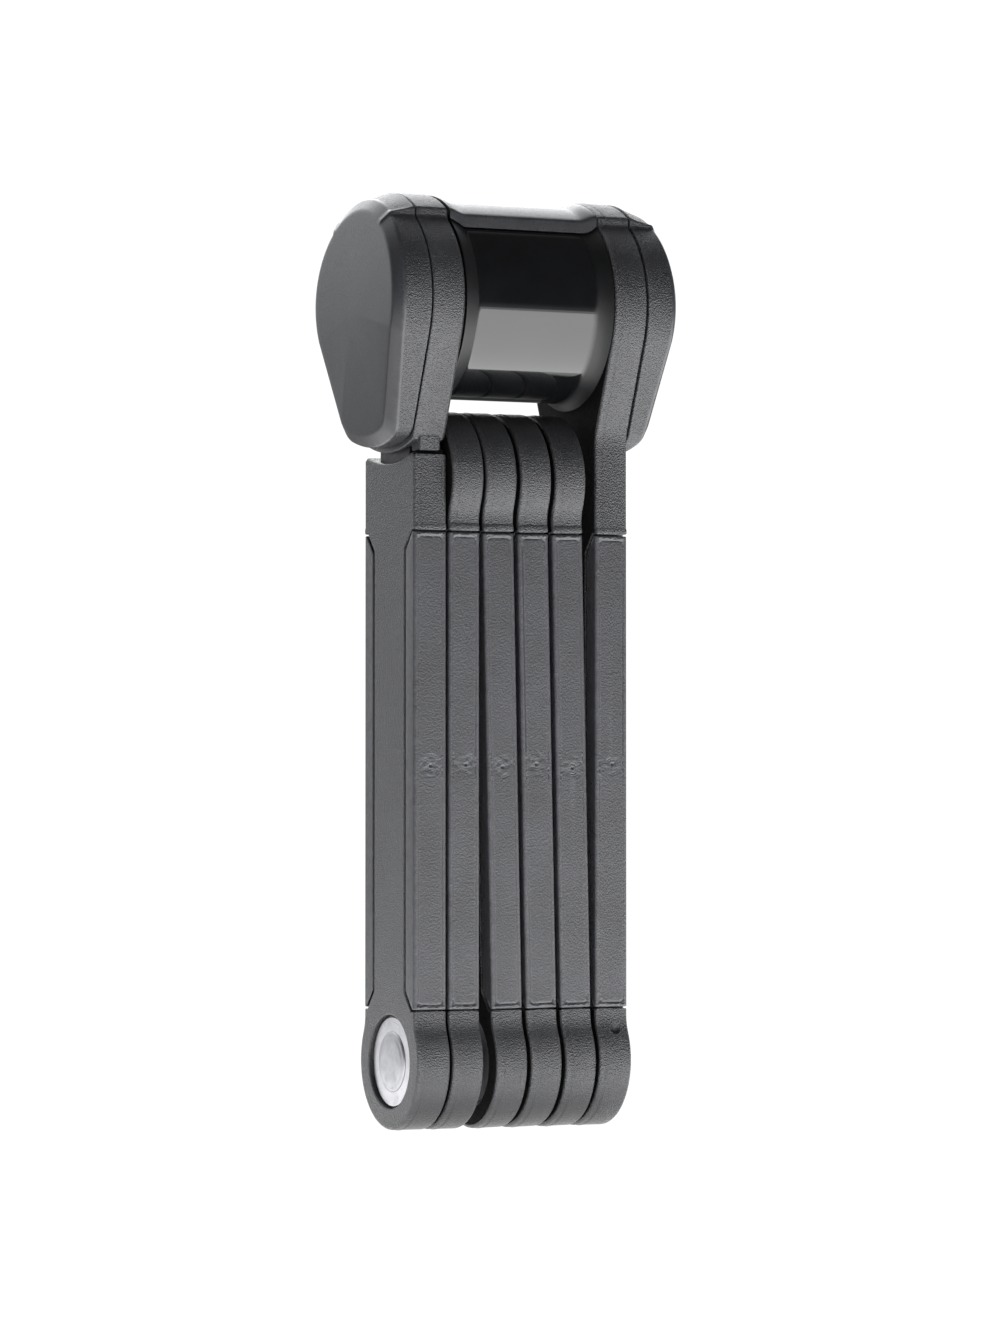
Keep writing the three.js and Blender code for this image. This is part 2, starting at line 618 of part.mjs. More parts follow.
function keyPlug() {
  const [x0, x1] = LOCK_CYLINDER_X;
  const body = rod(x0 + 0.4, x1 + 0.1, PLUG_RADIUS, LOCK_AXIS_Z, SMALL_FACETS);
  const { halfWidth, halfHeight, startX } = KEYWAY;
  const [low, high] = [LOCK_AXIS_Z - halfHeight, LOCK_AXIS_Z + halfHeight];
  return cut(body, block(startX, x1 + 1, -halfWidth, halfWidth, low, high));
}

// Tail of the plug: a disc behind the plug and a drive rod that reaches into the bolt.
function plugTail() {
  const span = [CYLINDER_BORE_LEFT_X + GAP, LOCK_CYLINDER_X[0] - SNUG];
  const drive = [DRIVE_ROD_LEFT_X, CYLINDER_BORE_LEFT_X + 1];
  return combine(
    rod(...span, TAIL_DISC_RADIUS, LOCK_AXIS_Z, SMALL_FACETS),
    rod(...drive, DRIVE_ROD_RADIUS, LOCK_AXIS_Z, SMALL_FACETS),
  );
}

function lockingBolt() {
  const body = turned([
    [BOLT_TIP_X, 0], [BOLT_TIP_X, BOLT_RADIUS - 0.8], [BOLT_TIP_X + 0.8, BOLT_RADIUS],
    [BOLT_TAIL_X, BOLT_RADIUS], [BOLT_TAIL_X, 0],
  ], LOCK_AXIS_Z, SMALL_FACETS);
  const bore = rod(BOLT_BORE_LEFT_X, BOLT_TAIL_X + 1, BOLT_BORE_RADIUS, LOCK_AXIS_Z, SMALL_FACETS);
  return cut(body, bore);
}

// Split ring that keeps the first link's head on the barrel.
function retainingRing() {
  const outer = CORE_RADIUS + RETAINER_REACH;
  const whole = ring(...RETAINER_X, CORE_RADIUS - 1, outer, LOCK_AXIS_Z);
  const [x0, x1] = GROOVE_X;
  const [low, high] = [LOCK_AXIS_Z - outer - 1, LOCK_AXIS_Z - CORE_RADIUS / 2];
  return cut(whole, block(x0, x1, -RETAINER_SLIT, RETAINER_SLIT, low, high));
}

// ---- assembly -----------------------------------------------------------------------------

const lock = new THREE.Group();

for (let number = 1; number <= 6; number += 1) lock.add(makeLink(number));

lock.add(makeRivet(2, 1, LOWER_PIVOT_Z));
lock.add(makeRivet(3, 2, UPPER_PIVOT_Z));
lock.add(makeRivet(4, 3, LOWER_PIVOT_Z));
lock.add(makeRivet(5, 4, UPPER_PIVOT_Z));
lock.add(makeRivet(6, 5, LOWER_PIVOT_Z));

piece('left_end_cap', 'satin_plastic', leftEndCap(), lock);
piece('left_collar', 'textured_plastic', leftCollar(), lock);
piece('lock_core', 'hardened_steel', lockCore(), lock);
piece('gloss_sleeve', 'gloss_plastic', glossSleeve(), lock);
piece('sleeve_carrier', 'carrier_plastic', sleeveCarrier(), lock);
piece('top_strip', 'satin_plastic', topStrip(), lock);
piece('right_end_cap', 'satin_plastic', rightEndCap(), lock);
piece('keyhole_cover', 'satin_plastic', keyholeCover(), lock);
piece('lock_cylinder', 'brass', lockCylinder(), lock);
piece('key_plug', 'nickel_silver', keyPlug(), lock);
piece('plug_tail', 'hardened_steel', plugTail(), lock);
piece('locking_bolt', 'hardened_steel', lockingBolt(), lock);
piece('retaining_ring', 'hardened_steel', retainingRing(), lock);

export default lock;
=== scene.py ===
import json
import math

import bmesh
import bpy
from mathutils import Matrix, Vector, noise
from mathutils.geometry import delaunay_2d_cdt


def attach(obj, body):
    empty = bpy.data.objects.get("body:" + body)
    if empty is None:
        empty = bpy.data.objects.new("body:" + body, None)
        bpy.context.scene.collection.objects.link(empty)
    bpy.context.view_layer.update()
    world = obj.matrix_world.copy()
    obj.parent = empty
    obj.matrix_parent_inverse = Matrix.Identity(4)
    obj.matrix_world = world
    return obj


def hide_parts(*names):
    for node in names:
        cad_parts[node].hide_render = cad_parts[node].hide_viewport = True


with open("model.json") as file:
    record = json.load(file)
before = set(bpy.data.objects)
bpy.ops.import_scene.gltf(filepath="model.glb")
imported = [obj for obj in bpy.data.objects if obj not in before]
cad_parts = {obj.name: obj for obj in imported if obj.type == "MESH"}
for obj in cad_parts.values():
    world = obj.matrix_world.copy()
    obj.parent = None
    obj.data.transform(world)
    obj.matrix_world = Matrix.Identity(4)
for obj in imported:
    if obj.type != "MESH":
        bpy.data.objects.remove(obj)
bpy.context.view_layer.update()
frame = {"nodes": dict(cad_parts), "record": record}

# Folding bike lock. Lengths are in millimetres and become metres when a mesh is made.
# X runs along the lock barrel, Y from front (-) to back (+), Z up along the folded links.

MM = 0.001
SHARP_ANGLE = math.radians(48)  # shading breaks at edges that bend more
WEAR_FROM, WEAR_SPAN = 5.0, 15.0  # degrees of bend at which the edge wear starts, and its span

# ---- dimensions: those of whole pieces are the CAD's, the fine relief is only here ----------

LOWER_PIVOT_Z = 16.28
LINK_LENGTH = 139.0
UPPER_PIVOT_Z = LOWER_PIVOT_Z + LINK_LENGTH
LOCK_AXIS_Z = 197.0
HEAD_Z = LOCK_AXIS_Z - LOWER_PIVOT_Z  # the lock axis in the coordinates of an upright link

LINK_X = {1: 24.3, 2: 15.0, 3: 5.79, 4: -3.41, 5: -15.0, 6: -24.0}
LEANING = (2, 3, 4)
LEAN = math.radians(1.15)
LINK_HALF = 4.1  # half of the thickness
OUTER_LINK_HALF = 4.3
FLANK_Y = 13.8  # half of the width
END_RADIUS = 16.2
END_FILLET = 10.0
ARRIS = 0.8
PLATE_HALF = 2.75
RING_RECESS = 11.15  # radius of the recess round a rivet's outer ring
SPACER_RECESS = 8.9

SEAM = 0.2  # between a pad and its cover, at the ends
FACE_SEAM = 0.42  # and across the wide faces
PAD_LOW = 28.8 - LOWER_PIVOT_Z
PAD_HIGH = 142.2 - LOWER_PIVOT_Z
PAD_INNER_Y = 8.7
PAD_CORNER = 4.4
PAD_TIP_Y = 12.4
PAD_BACK_Y = 12.4
PAD_BORDER = 1.15  # from the edge of a pad to its border line
PAD_BORDER_CORNER = 0.9
GATE_Z = 86.7 - LOWER_PIVOT_Z  # the mark left by the mould's gate
GATE_RINGS = ((0.95, 0.13), (1.5, 0.12), (2.05, 0.1), (2.6, 0.07))  # (radius, depth)

HEAD_RADIUS = 24.5
ROOF_RADIUS = 26.3
ROOF_EDGE_Y = 15.0
TAPER = 22.0
COLLAR_FOOT = 35.7
CAP_FOOT = 34.6
COVER_CROWN = 38.2  # radius of the last link's hollow top, about the lock axis
COVER_HORN = 160.4 - LOWER_PIVOT_Z
COVER_HORN_Y = 12.3
COLLAR_X = (-28.3, -19.7)
COLLAR_BORE = 19.3
TAB_X = (-26.7, -21.3)
TONGUE_SLOT_X = (-27.3, -20.7)
CAP_X = 37.8
CAP_INNER_X = {-1: 28.6, 1: 28.9}
CAP_HOLLOW_X = 33.5
CAP_CROWN = 172.0
CAP_CROWN_Z = 198.0
CAP_FACE_Z = 194.0  # where the rings of the cap's face shrink to
CORE_HOLE = 12.5

SLEEVE_RADIUS = 22.4
SLEEVE_BORE = 20.2
SLEEVE_X = (-19.4, 19.7)
STRIP_EDGE = (14.4, 217.4)  # (y, z) of the top strip's edge on the barrel
STRIP_TOP_Z = 221.6

COVER_TRAVEL = 18.5
KEYHOLE_RADIUS = 7.2
TRACK_FLOOR_X = 35.3
SLIDE_X = 36.86  # outer face of the sliding cover

RIVETS = ((2, 1, "lower"), (3, 2, "upper"), (4, 3, "lower"), (5, 4, "upper"), (6, 5, "lower"))


# ---- meshes ---------------------------------------------------------------------------------


def arc(cy, cz, radius, start, end, steps):
    """Points on a circle in (y, z), between two angles in degrees."""
    angles = [math.radians(start + (end - start) * i / steps) for i in range(steps + 1)]
    return [(cy + radius * math.cos(a), cz + radius * math.sin(a)) for a in angles]


def mirrored(path):
    """A closed outline from its half on the side of +Y, which runs from low to high."""
    half = [p if len(p) > 2 else (*p, 1.0) for p in path]
    other = [(-p[0], *p[1:]) for p in half[-2:0:-1]]
    return half + other


def inset_vectors(outline):
    """How far each point of an outline moves for one unit of inset, as (dy, dz).

    A point is (y, z, share of the inset), or (y, z, dy, dz) with its own move.
    """
    moves = []
    count = len(outline)
    area = sum(
        outline[i - 1][0] * outline[i][1] - outline[i][0] * outline[i - 1][1]
        for i in range(count)
    )
    turn = 1 if area > 0 else -1
    for i, point in enumerate(outline):
        before, after = outline[i - 1], outline[(i + 1) % count]
        normals = []
        for a, b in ((before, point), (point, after)):
            dy, dz = b[0] - a[0], b[1] - a[1]
            length = math.hypot(dy, dz) or 1.0
            normals.append((-dz / length * turn, dy / length * turn))
        ny, nz = normals[0][0] + normals[1][0], normals[0][1] + normals[1][1]
        scale = 2.0 / max(ny * ny + nz * nz, 0.6)
        if len(point) > 3:
            moves.append((point[2] * (-1 if point[0] > 0 else 1), point[3]))
        else:
            moves.append((ny * scale * point[2], nz * scale * point[2]))
    return moves


def inside(point, loop):
    """Whether a point lies inside a closed loop."""
    result = False
    y, z = point
    for i in range(len(loop)):
        (y0, z0), (y1, z1) = loop[i - 1], loop[i]
        if (z0 > z) != (z1 > z) and y < (y1 - y0) * (z - z0) / (z1 - z0) + y0:
            result = not result
    return result


class Body:
    """A mesh under construction, in millimetres."""

    def __init__(self):
        self.points = []
        self.faces = []
        self.level = []  # faces that stay out of the edge wear
        self.second = []  # faces with the second material

    def ring(self, points):
        start = len(self.points)
        self.points += [tuple(p) for p in points]
        return list(range(start, len(self.points)))

    def bridge(self, one, two, second=False):
        for i in range(len(one)):
            if second:
                self.second.append(len(self.faces))
            self.faces.append((one[i - 1], one[i], two[i], two[i - 1]))

    def strip(self, rings, second=False):
        for one, two in zip(rings, rings[1:]):
            self.bridge(one, two, second)

    def fan(self, ring, second=False):
        count = len(ring)
        middle = [sum(self.points[i][k] for i in ring) / count for k in range(3)]
        hub = self.ring([middle])[0]
        for i in range(count):
            self.level.append(len(self.faces))
            if second:
                self.second.append(len(self.faces))
            self.faces.append((ring[i - 1], ring[i], hub))

    def plate(self, outer, holes=(), second=False):
        """A flat face across X between one ring and holes in it."""
        loops = [outer, *holes]
        index = [i for loop in loops for i in loop]
        flat = [Vector(self.points[i][1:]) for i in index]
        edges, start = [], 0
        for loop in loops:
            edges += [(start + i, start + (i + 1) % len(loop)) for i in range(len(loop))]
            start += len(loop)
        shapes = [[tuple(self.points[i][1:]) for i in loop] for loop in loops]
        points, _, triangles, origins, _, _ = delaunay_2d_cdt(flat, edges, [], 0, 1e-5)
        for triangle in triangles:
            middle = tuple(sum(points[i][k] for i in triangle) / 3 for k in (0, 1))
            if not inside(middle, shapes[0]) or any(inside(middle, s) for s in shapes[1:]):
                continue
            self.level.append(len(self.faces))
            if second:
                self.second.append(len(self.faces))
            self.faces.append(tuple(index[origins[i][0]] for i in triangle))

    def mesh(self, name):
        mesh = bpy.data.meshes.new(name)
        mesh.from_pydata([tuple(c * MM for c in p) for p in self.points], [], self.faces)
        mesh.attributes.new("level", "INT", "FACE")
        for i in self.level:
            mesh.attributes["level"].data[i].value = 1
        for i in self.second:
            mesh.polygons[i].material_index = 1
        work = bmesh.new()
        work.from_mesh(mesh)
        bmesh.ops.remove_doubles(work, verts=work.verts, dist=1e-7)
        bmesh.ops.recalc_face_normals(work, faces=work.faces)
        work.to_mesh(mesh)
        work.free()
        return mesh


def rounding(radius, steps=4):
    """(distance from the face, inset) along a rounded arris."""
    turns = [math.radians(90 * i / steps) for i in range(steps + 1)]
    return [(radius * (1 - math.cos(a)), radius * (1 - math.sin(a))) for a in turns]


def circle(z, radius, count=72):
    return arc(0, z, radius, 0, 360, count)[:-1]


def tube(sections, fanned=False):
    """Rings joined in a row and closed at both ends. sections are (x, outline in (y, z))."""
    body = Body()
    rings = [body.ring((x, y, z) for y, z in outline) for x, outline in sections]
    body.strip(rings)
    for ring in (rings[0], rings[-1]):
        if fanned:
            body.fan(ring)
        else:
            body.plate(ring)
    return body


def slab(
    outline, x0, x1, arris=None, far_arris=None, middle=(), pockets=(), bores=(),
    second=(False, False),
):
    """An outline extruded along X with rounded arrises, pockets in its two faces and through bores.

    arris is the rounding at x0 and far_arris the one at x1. pockets are (side, z, radius, depth,
    rounding), bores are (z, radius). second tells for the two faces whether they take the second
    material.
    """
    body = Body()
    moves = inset_vectors(outline)
    arris = arris or rounding(ARRIS)
    far_arris = far_arris or rounding(ARRIS)
    profile = [(x0 + d, i) for d, i in arris] + list(middle)
    profile += [(x1 - d, i) for d, i in far_arris[::-1]]

    def lay(x, amount):
        return body.ring(
            (x, p[0] + m[0] * amount, p[1] + m[1] * amount) for p, m in zip(outline, moves)
        )

    rings = [lay(x, amount) for x, amount in profile]
    body.strip(rings)
    holes = {-1: [], 1: []}
    for side, z, radius, depth, edge in pockets:
        face = x0 if side < 0 else x1
        steps = [(d, radius + i) for d, i in rounding(edge, 3)] + [(depth, radius)]
        walls = [body.ring((face - side * d, y, c) for y, c in circle(z, r)) for d, r in steps]
        body.strip(walls)
        body.fan(walls[-1])
        holes[side].append(walls[0])
    for z, radius in bores:
        steps = [(d, radius + i) for d, i in rounding(0.3, 2)]
        walls = [body.ring((x0 + d, y, c) for y, c in circle(z, r)) for d, r in steps]
        walls += [body.ring((x1 - d, y, c) for y, c in circle(z, r)) for d, r in steps[::-1]]
        body.strip(walls)
        holes[-1].append(walls[0])
        holes[1].append(walls[-1])
    body.plate(rings[0], holes[-1], second[0])
    body.plate(rings[-1], holes[1], second[1])
    return body


def turned(profile, count=96, closed=False):
    """A profile in (x, radius) turned about the X axis. A point with no radius ends in a fan."""
    body = Body()
    rings = [
        body.ring((x, y, z) for y, z in circle(0, r, count)) for x, r in profile if r > 0
    ]
    body.strip(rings + ([rings[0]] if closed else []))
    if not closed:
        body.fan(rings[0])
        body.fan(rings[-1])
    return body


def mark_wear(mesh):
    """Writes to each corner how convex the surface is there, for the wear along edges."""
    work = bmesh.new()
    work.from_mesh(mesh)
    bend = [0.0] * len(work.verts)
    for edge in work.edges:
        if len(edge.link_faces) == 2:
            angle = math.degrees(edge.calc_face_angle_signed(0.0))
            for vertex in edge.verts:
                bend[vertex.index] = max(bend[vertex.index], angle)
    work.free()
    level = mesh.attributes["level"].data
    wear = mesh.attributes.new("wear", "FLOAT", "CORNER").data
    for polygon in mesh.polygons:
        for loop in polygon.loop_indices:
            angle = bend[mesh.loops[loop].vertex_index]
            flat = level[polygon.index].value
            worn = min(max(angle - WEAR_FROM, 0.0) / WEAR_SPAN, 1.0)
            wear[loop].value = 0.0 if flat else worn


def link_to_scene(name, data):
    made = bpy.data.objects.new(name, data)
    bpy.context.scene.collection.objects.link(made)
    return made


def add(name, body, rides, nodes, materials, place=None, tools=()):
    """Makes a piece from a body, cuts it with tools, and sets it in the frame."""
    piece = link_to_scene(name, body.mesh(name))
    for tool in tools:
        knife = link_to_scene(name + "_tool", tool.mesh(name + "_tool"))
        boolean = piece.modifiers.new("cut", "BOOLEAN")
        boolean.operation = "DIFFERENCE"
        boolean.solver = "EXACT"
        boolean.object = knife
        evaluated = piece.evaluated_get(bpy.context.evaluated_depsgraph_get())
        carved = bpy.data.meshes.new_from_object(evaluated)
        piece.modifiers.clear()
        piece.data = carved
        bpy.data.objects.remove(knife)
    for material in materials:
        piece.data.materials.append(material)
    piece.data.polygons.foreach_set("use_smooth", [True] * len(piece.data.polygons))
    piece.data.set_sharp_from_angle(angle=SHARP_ANGLE)
    mark_wear(piece.data)
    weighted = piece.modifiers.new("normals", "WEIGHTED_NORMAL")
    weighted.keep_sharp = True
    weighted.weight = 50
    piece.matrix_world = place or Matrix.Identity(4)
    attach(piece, rides)
    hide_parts(*nodes)


def link_place(number):
    """Where a link's own coordinates lie: about its lower rivet, leaning or upright."""
    move = Matrix.Translation(Vector((LINK_X[number], 0, LOWER_PIVOT_Z)) * MM)
    return move @ Matrix.Rotation(-LEAN, 4, "Y") if number in LEANING else move


# ---- materials ------------------------------------------------------------------------------


def make_node(tree, kind, inputs=None, **settings):
    """Adds a node; an input is another node's socket, which is linked, or a value."""
    made = tree.nodes.new(kind)
    for key, value in settings.items():
        setattr(made, key, value)
    for key, value in (inputs or {}).items():
        if isinstance(value, bpy.types.NodeSocket):
            tree.links.new(value, made.inputs[key])
        else:
            made.inputs[key].default_value = value
    return made


class Shader:
    """A node material with a Principled shader."""

    def __init__(self, name):
        self.material = bpy.data.materials.new(name)
        self.material.use_nodes = True
        self.tree = self.material.node_tree
        self.shader = self.tree.nodes["Principled BSDF"]
        self.place = self.node("ShaderNodeTexCoord").outputs["Object"]
        chance = self.node("ShaderNodeObjectInfo").outputs["Random"]
        self.where = self.node(
            "ShaderNodeVectorMath", {0: self.place, 1: chance}, operation="ADD"
        ).outputs[0]

    def node(self, kind, inputs=None, **settings):
        return make_node(self.tree, kind, inputs, **settings)

    def noise(self, size, detail=2.0, roughness=0.5, where=None):
        """Noise with features of about this size, in millimetres."""
        return self.node(
            "ShaderNodeTexNoise",
            {
                "Vector": where or self.where,
                "Scale": 1 / (size * MM),
                "Detail": detail,
                "Roughness": roughness,
            },
        ).outputs["Fac"]

    def remap(self, value, low, high, to_low, to_high):
        return self.node(
            "ShaderNodeMapRange",
            {"Value": value, 1: low, 2: high, 3: to_low, 4: to_high},
        ).outputs[0]

    def math(self, operation, one, two=0.0):
        return self.node("ShaderNodeMath", {0: one, 1: two}, operation=operation).outputs[0]

    def blend(self, factor, one, two):
        mix = self.node("ShaderNodeMix", {0: factor}, data_type="RGBA")
        for key, colour in ((6, one), (7, two)):
            if isinstance(colour, bpy.types.NodeSocket):
                self.tree.links.new(colour, mix.inputs[key])
            else:
                mix.inputs[key].default_value = (*colour, 1)
        return mix.outputs[2]

    def bump(self, height, distance, strength=1.0, below=None):
        inputs = {"Height": height, "Distance": distance * MM, "Strength": strength}
        if below:
            inputs["Normal"] = below
        return self.node("ShaderNodeBump", inputs).outputs[0]

    def attribute(self, name):
        return self.node("ShaderNodeAttribute", attribute_name=name).outputs["Fac"]

    def set(self, **values):
        for key, value in values.items():
            socket = self.shader.inputs[key.replace("_", " ")]
            if isinstance(value, bpy.types.NodeSocket):
                self.tree.links.new(value, socket)
            elif isinstance(value, tuple):
                socket.default_value = (*value, 1)
            else:
                socket.default_value = value
        return self.material


def plastic(name, colour, roughness, grain, grain_size, wear=0.5, specular=0.5):
    """Moulded plastic: spark grain, faint flow marks, and arrises rubbed paler and smoother.

    grain is the depth of the grain and grain_size its pitch, both in millimetres.
    """
    s = Shader(name)
    broad = s.noise(14, 3)
    fine = s.noise(grain_size * 3, 2)
    cells = s.node(
        "ShaderNodeTexVoronoi", {"Vector": s.where, "Scale": 1 / (grain_size * MM)}
    ).outputs["Distance"]
    pits = s.noise(grain_size * 1.3, 3, 0.7)
    patches = s.remap(s.noise(2.2, 4), 0.35, 0.65, 0.2, 1.0)
    rubbed = s.math("MULTIPLY", s.attribute("wear"), patches)
    darker = tuple(c * 0.78 for c in colour)
    lighter = tuple(c * 1.2 for c in colour)
    worn = tuple(c * 2.2 + 0.01 for c in colour)
    body = s.blend(s.remap(broad, 0.3, 0.7, 0.0, 1.0), darker, lighter)
    body = s.blend(s.remap(fine, 0.55, 0.75, 0.0, 0.35), body, lighter)
    body = s.blend(s.math("MULTIPLY", rubbed, wear), body, worn)
    rough = s.remap(pits, 0.3, 0.7, roughness - 0.09, roughness + 0.09)
    rough = s.math("SUBTRACT", rough, s.math("MULTIPLY", rubbed, 0.08))
    flow = s.bump(s.noise(5, 2), 0.05, 0.25)
    grained = s.bump(s.math("ADD", cells, pits), grain, 1.0, flow)
    return s.set(
        Base_Color=body, Roughness=rough, Specular_IOR_Level=specular, IOR=1.5, Normal=grained
    )


def gloss(name, colour):
    """Piano black lacquer with a faint orange peel on the barrel, satin on its two ends."""
    s = Shader(name)
    along = s.node("ShaderNodeSeparateXYZ", {0: s.place}).outputs[0]
    left = s.remap(along, -0.0158, -0.0150, 1.0, 0.0)
    right = s.remap(along, 0.0150, 0.0166, 0.0, 1.0)
    ends = s.math("MAXIMUM", left, right)
    haze = s.noise(9, 4)
    dust = s.noise(0.5, 2)
    specks = s.remap(dust, 0.7, 0.8, 0, 0.1)
    rough = s.math("ADD", s.remap(haze, 0.3, 0.7, 0.035, 0.075), specks)
    rough = s.math("ADD", rough, s.math("MULTIPLY", ends, 0.38))
    lacquer = s.remap(ends, 0.0, 1.0, 0.46, 0.0)
    peel = s.bump(s.noise(2.5, 2), 0.006, 0.3)
    body = s.blend(s.remap(haze, 0.4, 0.8, 0.0, 1.0), colour, tuple(c * 1.6 for c in colour))
    return s.set(
        Base_Color=body, Roughness=rough, IOR=1.5, Specular_IOR_Level=0.28,
        Coat_Weight=lacquer, Coat_Roughness=0.03, Coat_IOR=1.5, Normal=peel,
    )


def metal(name, colour, roughness, turned_finish=False, tarnish=0.2):
    """Bare or plated metal, with lathe rings round its own axis or fine streaks along it."""
    s = Shader(name)
    split = s.node("ShaderNodeSeparateXYZ", {0: s.place}).outputs
    if turned_finish:
        squares = s.math("ADD", s.math("POWER", split[1], 2.0), s.math("POWER", split[2], 2.0))
        radius = s.math("SQRT", squares)
        line = s.node("ShaderNodeCombineXYZ", {0: radius, 1: split[0]}).outputs[0]
    else:
        thin = s.math("MULTIPLY", split[2], 0.04)
        line = s.node("ShaderNodeCombineXYZ", {0: split[0], 1: split[1], 2: thin}).outputs[0]
    marks = s.noise(0.35, 3, 0.6, line)
    stain = s.noise(3.5, 4, 0.6)
    dull = tuple(c * (1 - tarnish) for c in colour)
    rubbed = tuple(min(c * 1.15, 1) for c in colour)
    body = s.blend(s.remap(stain, 0.4, 0.7, 0.0, 1.0), colour, dull)
    body = s.blend(s.math("MULTIPLY", s.attribute("wear"), 0.35), body, rubbed)
    rough = s.math(
        "ADD", s.remap(marks, 0.3, 0.7, roughness - 0.07, roughness + 0.08),
        s.remap(stain, 0.5, 0.7, 0.0, 0.1),
    )
    scratched = s.bump(marks, 0.012, 0.5)
    return s.set(Base_Color=body, Metallic=1.0, Roughness=rough, Normal=scratched)


GRAINED = plastic("grained_black_plastic", (0.0145, 0.015, 0.0165), 0.37, 0.14, 0.34, 0.5, 0.46)
SATIN = plastic("satin_black_plastic", (0.018, 0.0185, 0.021), 0.36, 0.008, 0.35, 0.5, 0.42)
PAD = plastic("pad_black_plastic", (0.022, 0.0225, 0.0255), 0.4, 0.04, 0.45, 0.5, 0.45)
PLAIN = plastic("plain_black_plastic", (0.02, 0.02, 0.021), 0.6, 0.01, 0.4)
GLOSS = gloss("gloss_black_lacquer", (0.003, 0.0032, 0.0036))
ZINC = metal("bright_zinc_plate", (0.43, 0.43, 0.445), 0.3, True, 0.3)
# Painted shade: a darker copy of the zinc plate for the washers that sit between two links, where
# shade falls.
PAINTED_SHADE_ZINC = metal("painted_shade_zinc_plate", (0.2, 0.2, 0.21), 0.5, True, 0.3)
RIVET = metal("zinc_rivet_head", (0.33, 0.33, 0.345), 0.33, True, 0.25)
# Painted shade: a near-black plastic that barely reflects, put on the link covers' faces that face
# a neighbouring link, where shade falls between the links.
PAINTED_SHADE_PLASTIC = plastic("painted_shade_black_plastic", (0.0035, 0.0035, 0.004), 0.7, 0.05, 0.4, 0.1, 0.06)
STEEL = metal("hardened_steel", (0.42, 0.43, 0.45), 0.36, False, 0.25)
# Painted shade: a near-black stand-in for the core plates and the lock core, which show only in
# seams and hollows where shade falls.
PAINTED_SHADE_CORE = plastic("painted_shade_core_black", (0.008, 0.008, 0.009), 0.5, 0.02, 0.5, 0.8, 0.35)
BRASS = metal("turned_brass", (0.66, 0.50, 0.24), 0.28, True, 0.25)
NICKEL = metal("turned_nickel_silver", (0.62, 0.60, 0.55), 0.26, True, 0.15)

# ---- links ----------------------------------------------------------------------------------


def knuckle():
    """Right half of a link's round end: from its lowest point up to the straight flank."""
    reach = FLANK_Y + END_FILLET
    rise = math.sqrt((END_RADIUS + END_FILLET) ** 2 - reach**2)
    meet = math.degrees(math.atan2(rise, reach))
    round_end = arc(0, 0, END_RADIUS, -90, meet, 30)
    return round_end + arc(reach, rise, END_FILLET, 180 + meet, 180, 6)[1:]


def notch():
    """Right half of the cut-out that holds an edge pad, with the raised bead above it."""
    low, high = PAD_LOW - SEAM, PAD_HIGH + SEAM
    inner, tip = PAD_INNER_Y - FACE_SEAM, PAD_TIP_Y - FACE_SEAM
    soft = 0.3
    bead = 0.3  # how far the bead stands proud
    return [
        (FLANK_Y, low - 0.35, 1.0), (FLANK_Y - 0.05, low, 1.0, -0.3),
        (tip, low, soft), (inner, low + PAD_CORNER, soft),
        (inner, high - PAD_CORNER, soft), (tip, high, soft),
        (FLANK_Y + bead / 2, high, 1.0, 0.3), (FLANK_Y + bead, high + 0.3, 1.0),
        (FLANK_Y + bead, high + 1.2, 1.0), (FLANK_Y, high + 1.7, 1.0),
    ]


def above(path):
    """The same end turned upside down at the link's upper rivet."""
    return [(y, LINK_LENGTH - z) for y, z in path[::-1]]


def head_side(foot, corner, grow=0.0, roof=1.0):
    """Right half of the head's outline about the lock axis, from its foot to its roof.

    foot and corner are radii, grow widens all of it, and roof is how far the roof is raised.
    """
    radius, low = HEAD_RADIUS + grow, foot + grow
    along = math.sqrt((low - corner) ** 2 - (radius - corner) ** 2)
    turn = math.radians(TAPER)
    cy = math.cos(turn) * (radius - corner) - math.sin(turn) * along
    cz = -math.sin(turn) * (radius - corner) - math.cos(turn) * along
    meet = math.degrees(math.atan2(cz, cy))
    path = arc(0, 0, low, -90, meet, 14)
    path += arc(cy, cz, corner, meet, -TAPER, 8)[1:]
    return path + head_top(radius, roof)


def head_top(radius, roof):
    """Right half of the head from the end of its taper up to the middle of the raised roof."""
    lip = math.degrees(math.acos(ROOF_EDGE_Y / HEAD_RADIUS))
    edge = math.degrees(math.acos((ROOF_EDGE_Y - 0.6) / ROOF_RADIUS))
    lift = roof * (ROOF_RADIUS - HEAD_RADIUS)
    over = radius + lift
    scale = radius / HEAD_RADIUS
    low_z = scale * HEAD_RADIUS * math.sin(math.radians(lip))
    high_z = over * math.sin(math.radians(edge))
    side = ROOF_EDGE_Y * scale
    path = arc(0, 0, radius, -TAPER, lip - 1.2, 26)
    for out, share in ((0.02, 0.12), (0.0, 0.3), (-0.02, 0.62), (-0.18, 0.88)):
        path.append((side + out, low_z + (high_z - low_z) * share))
    return path + arc(0, 0, over, edge, 90, 16)


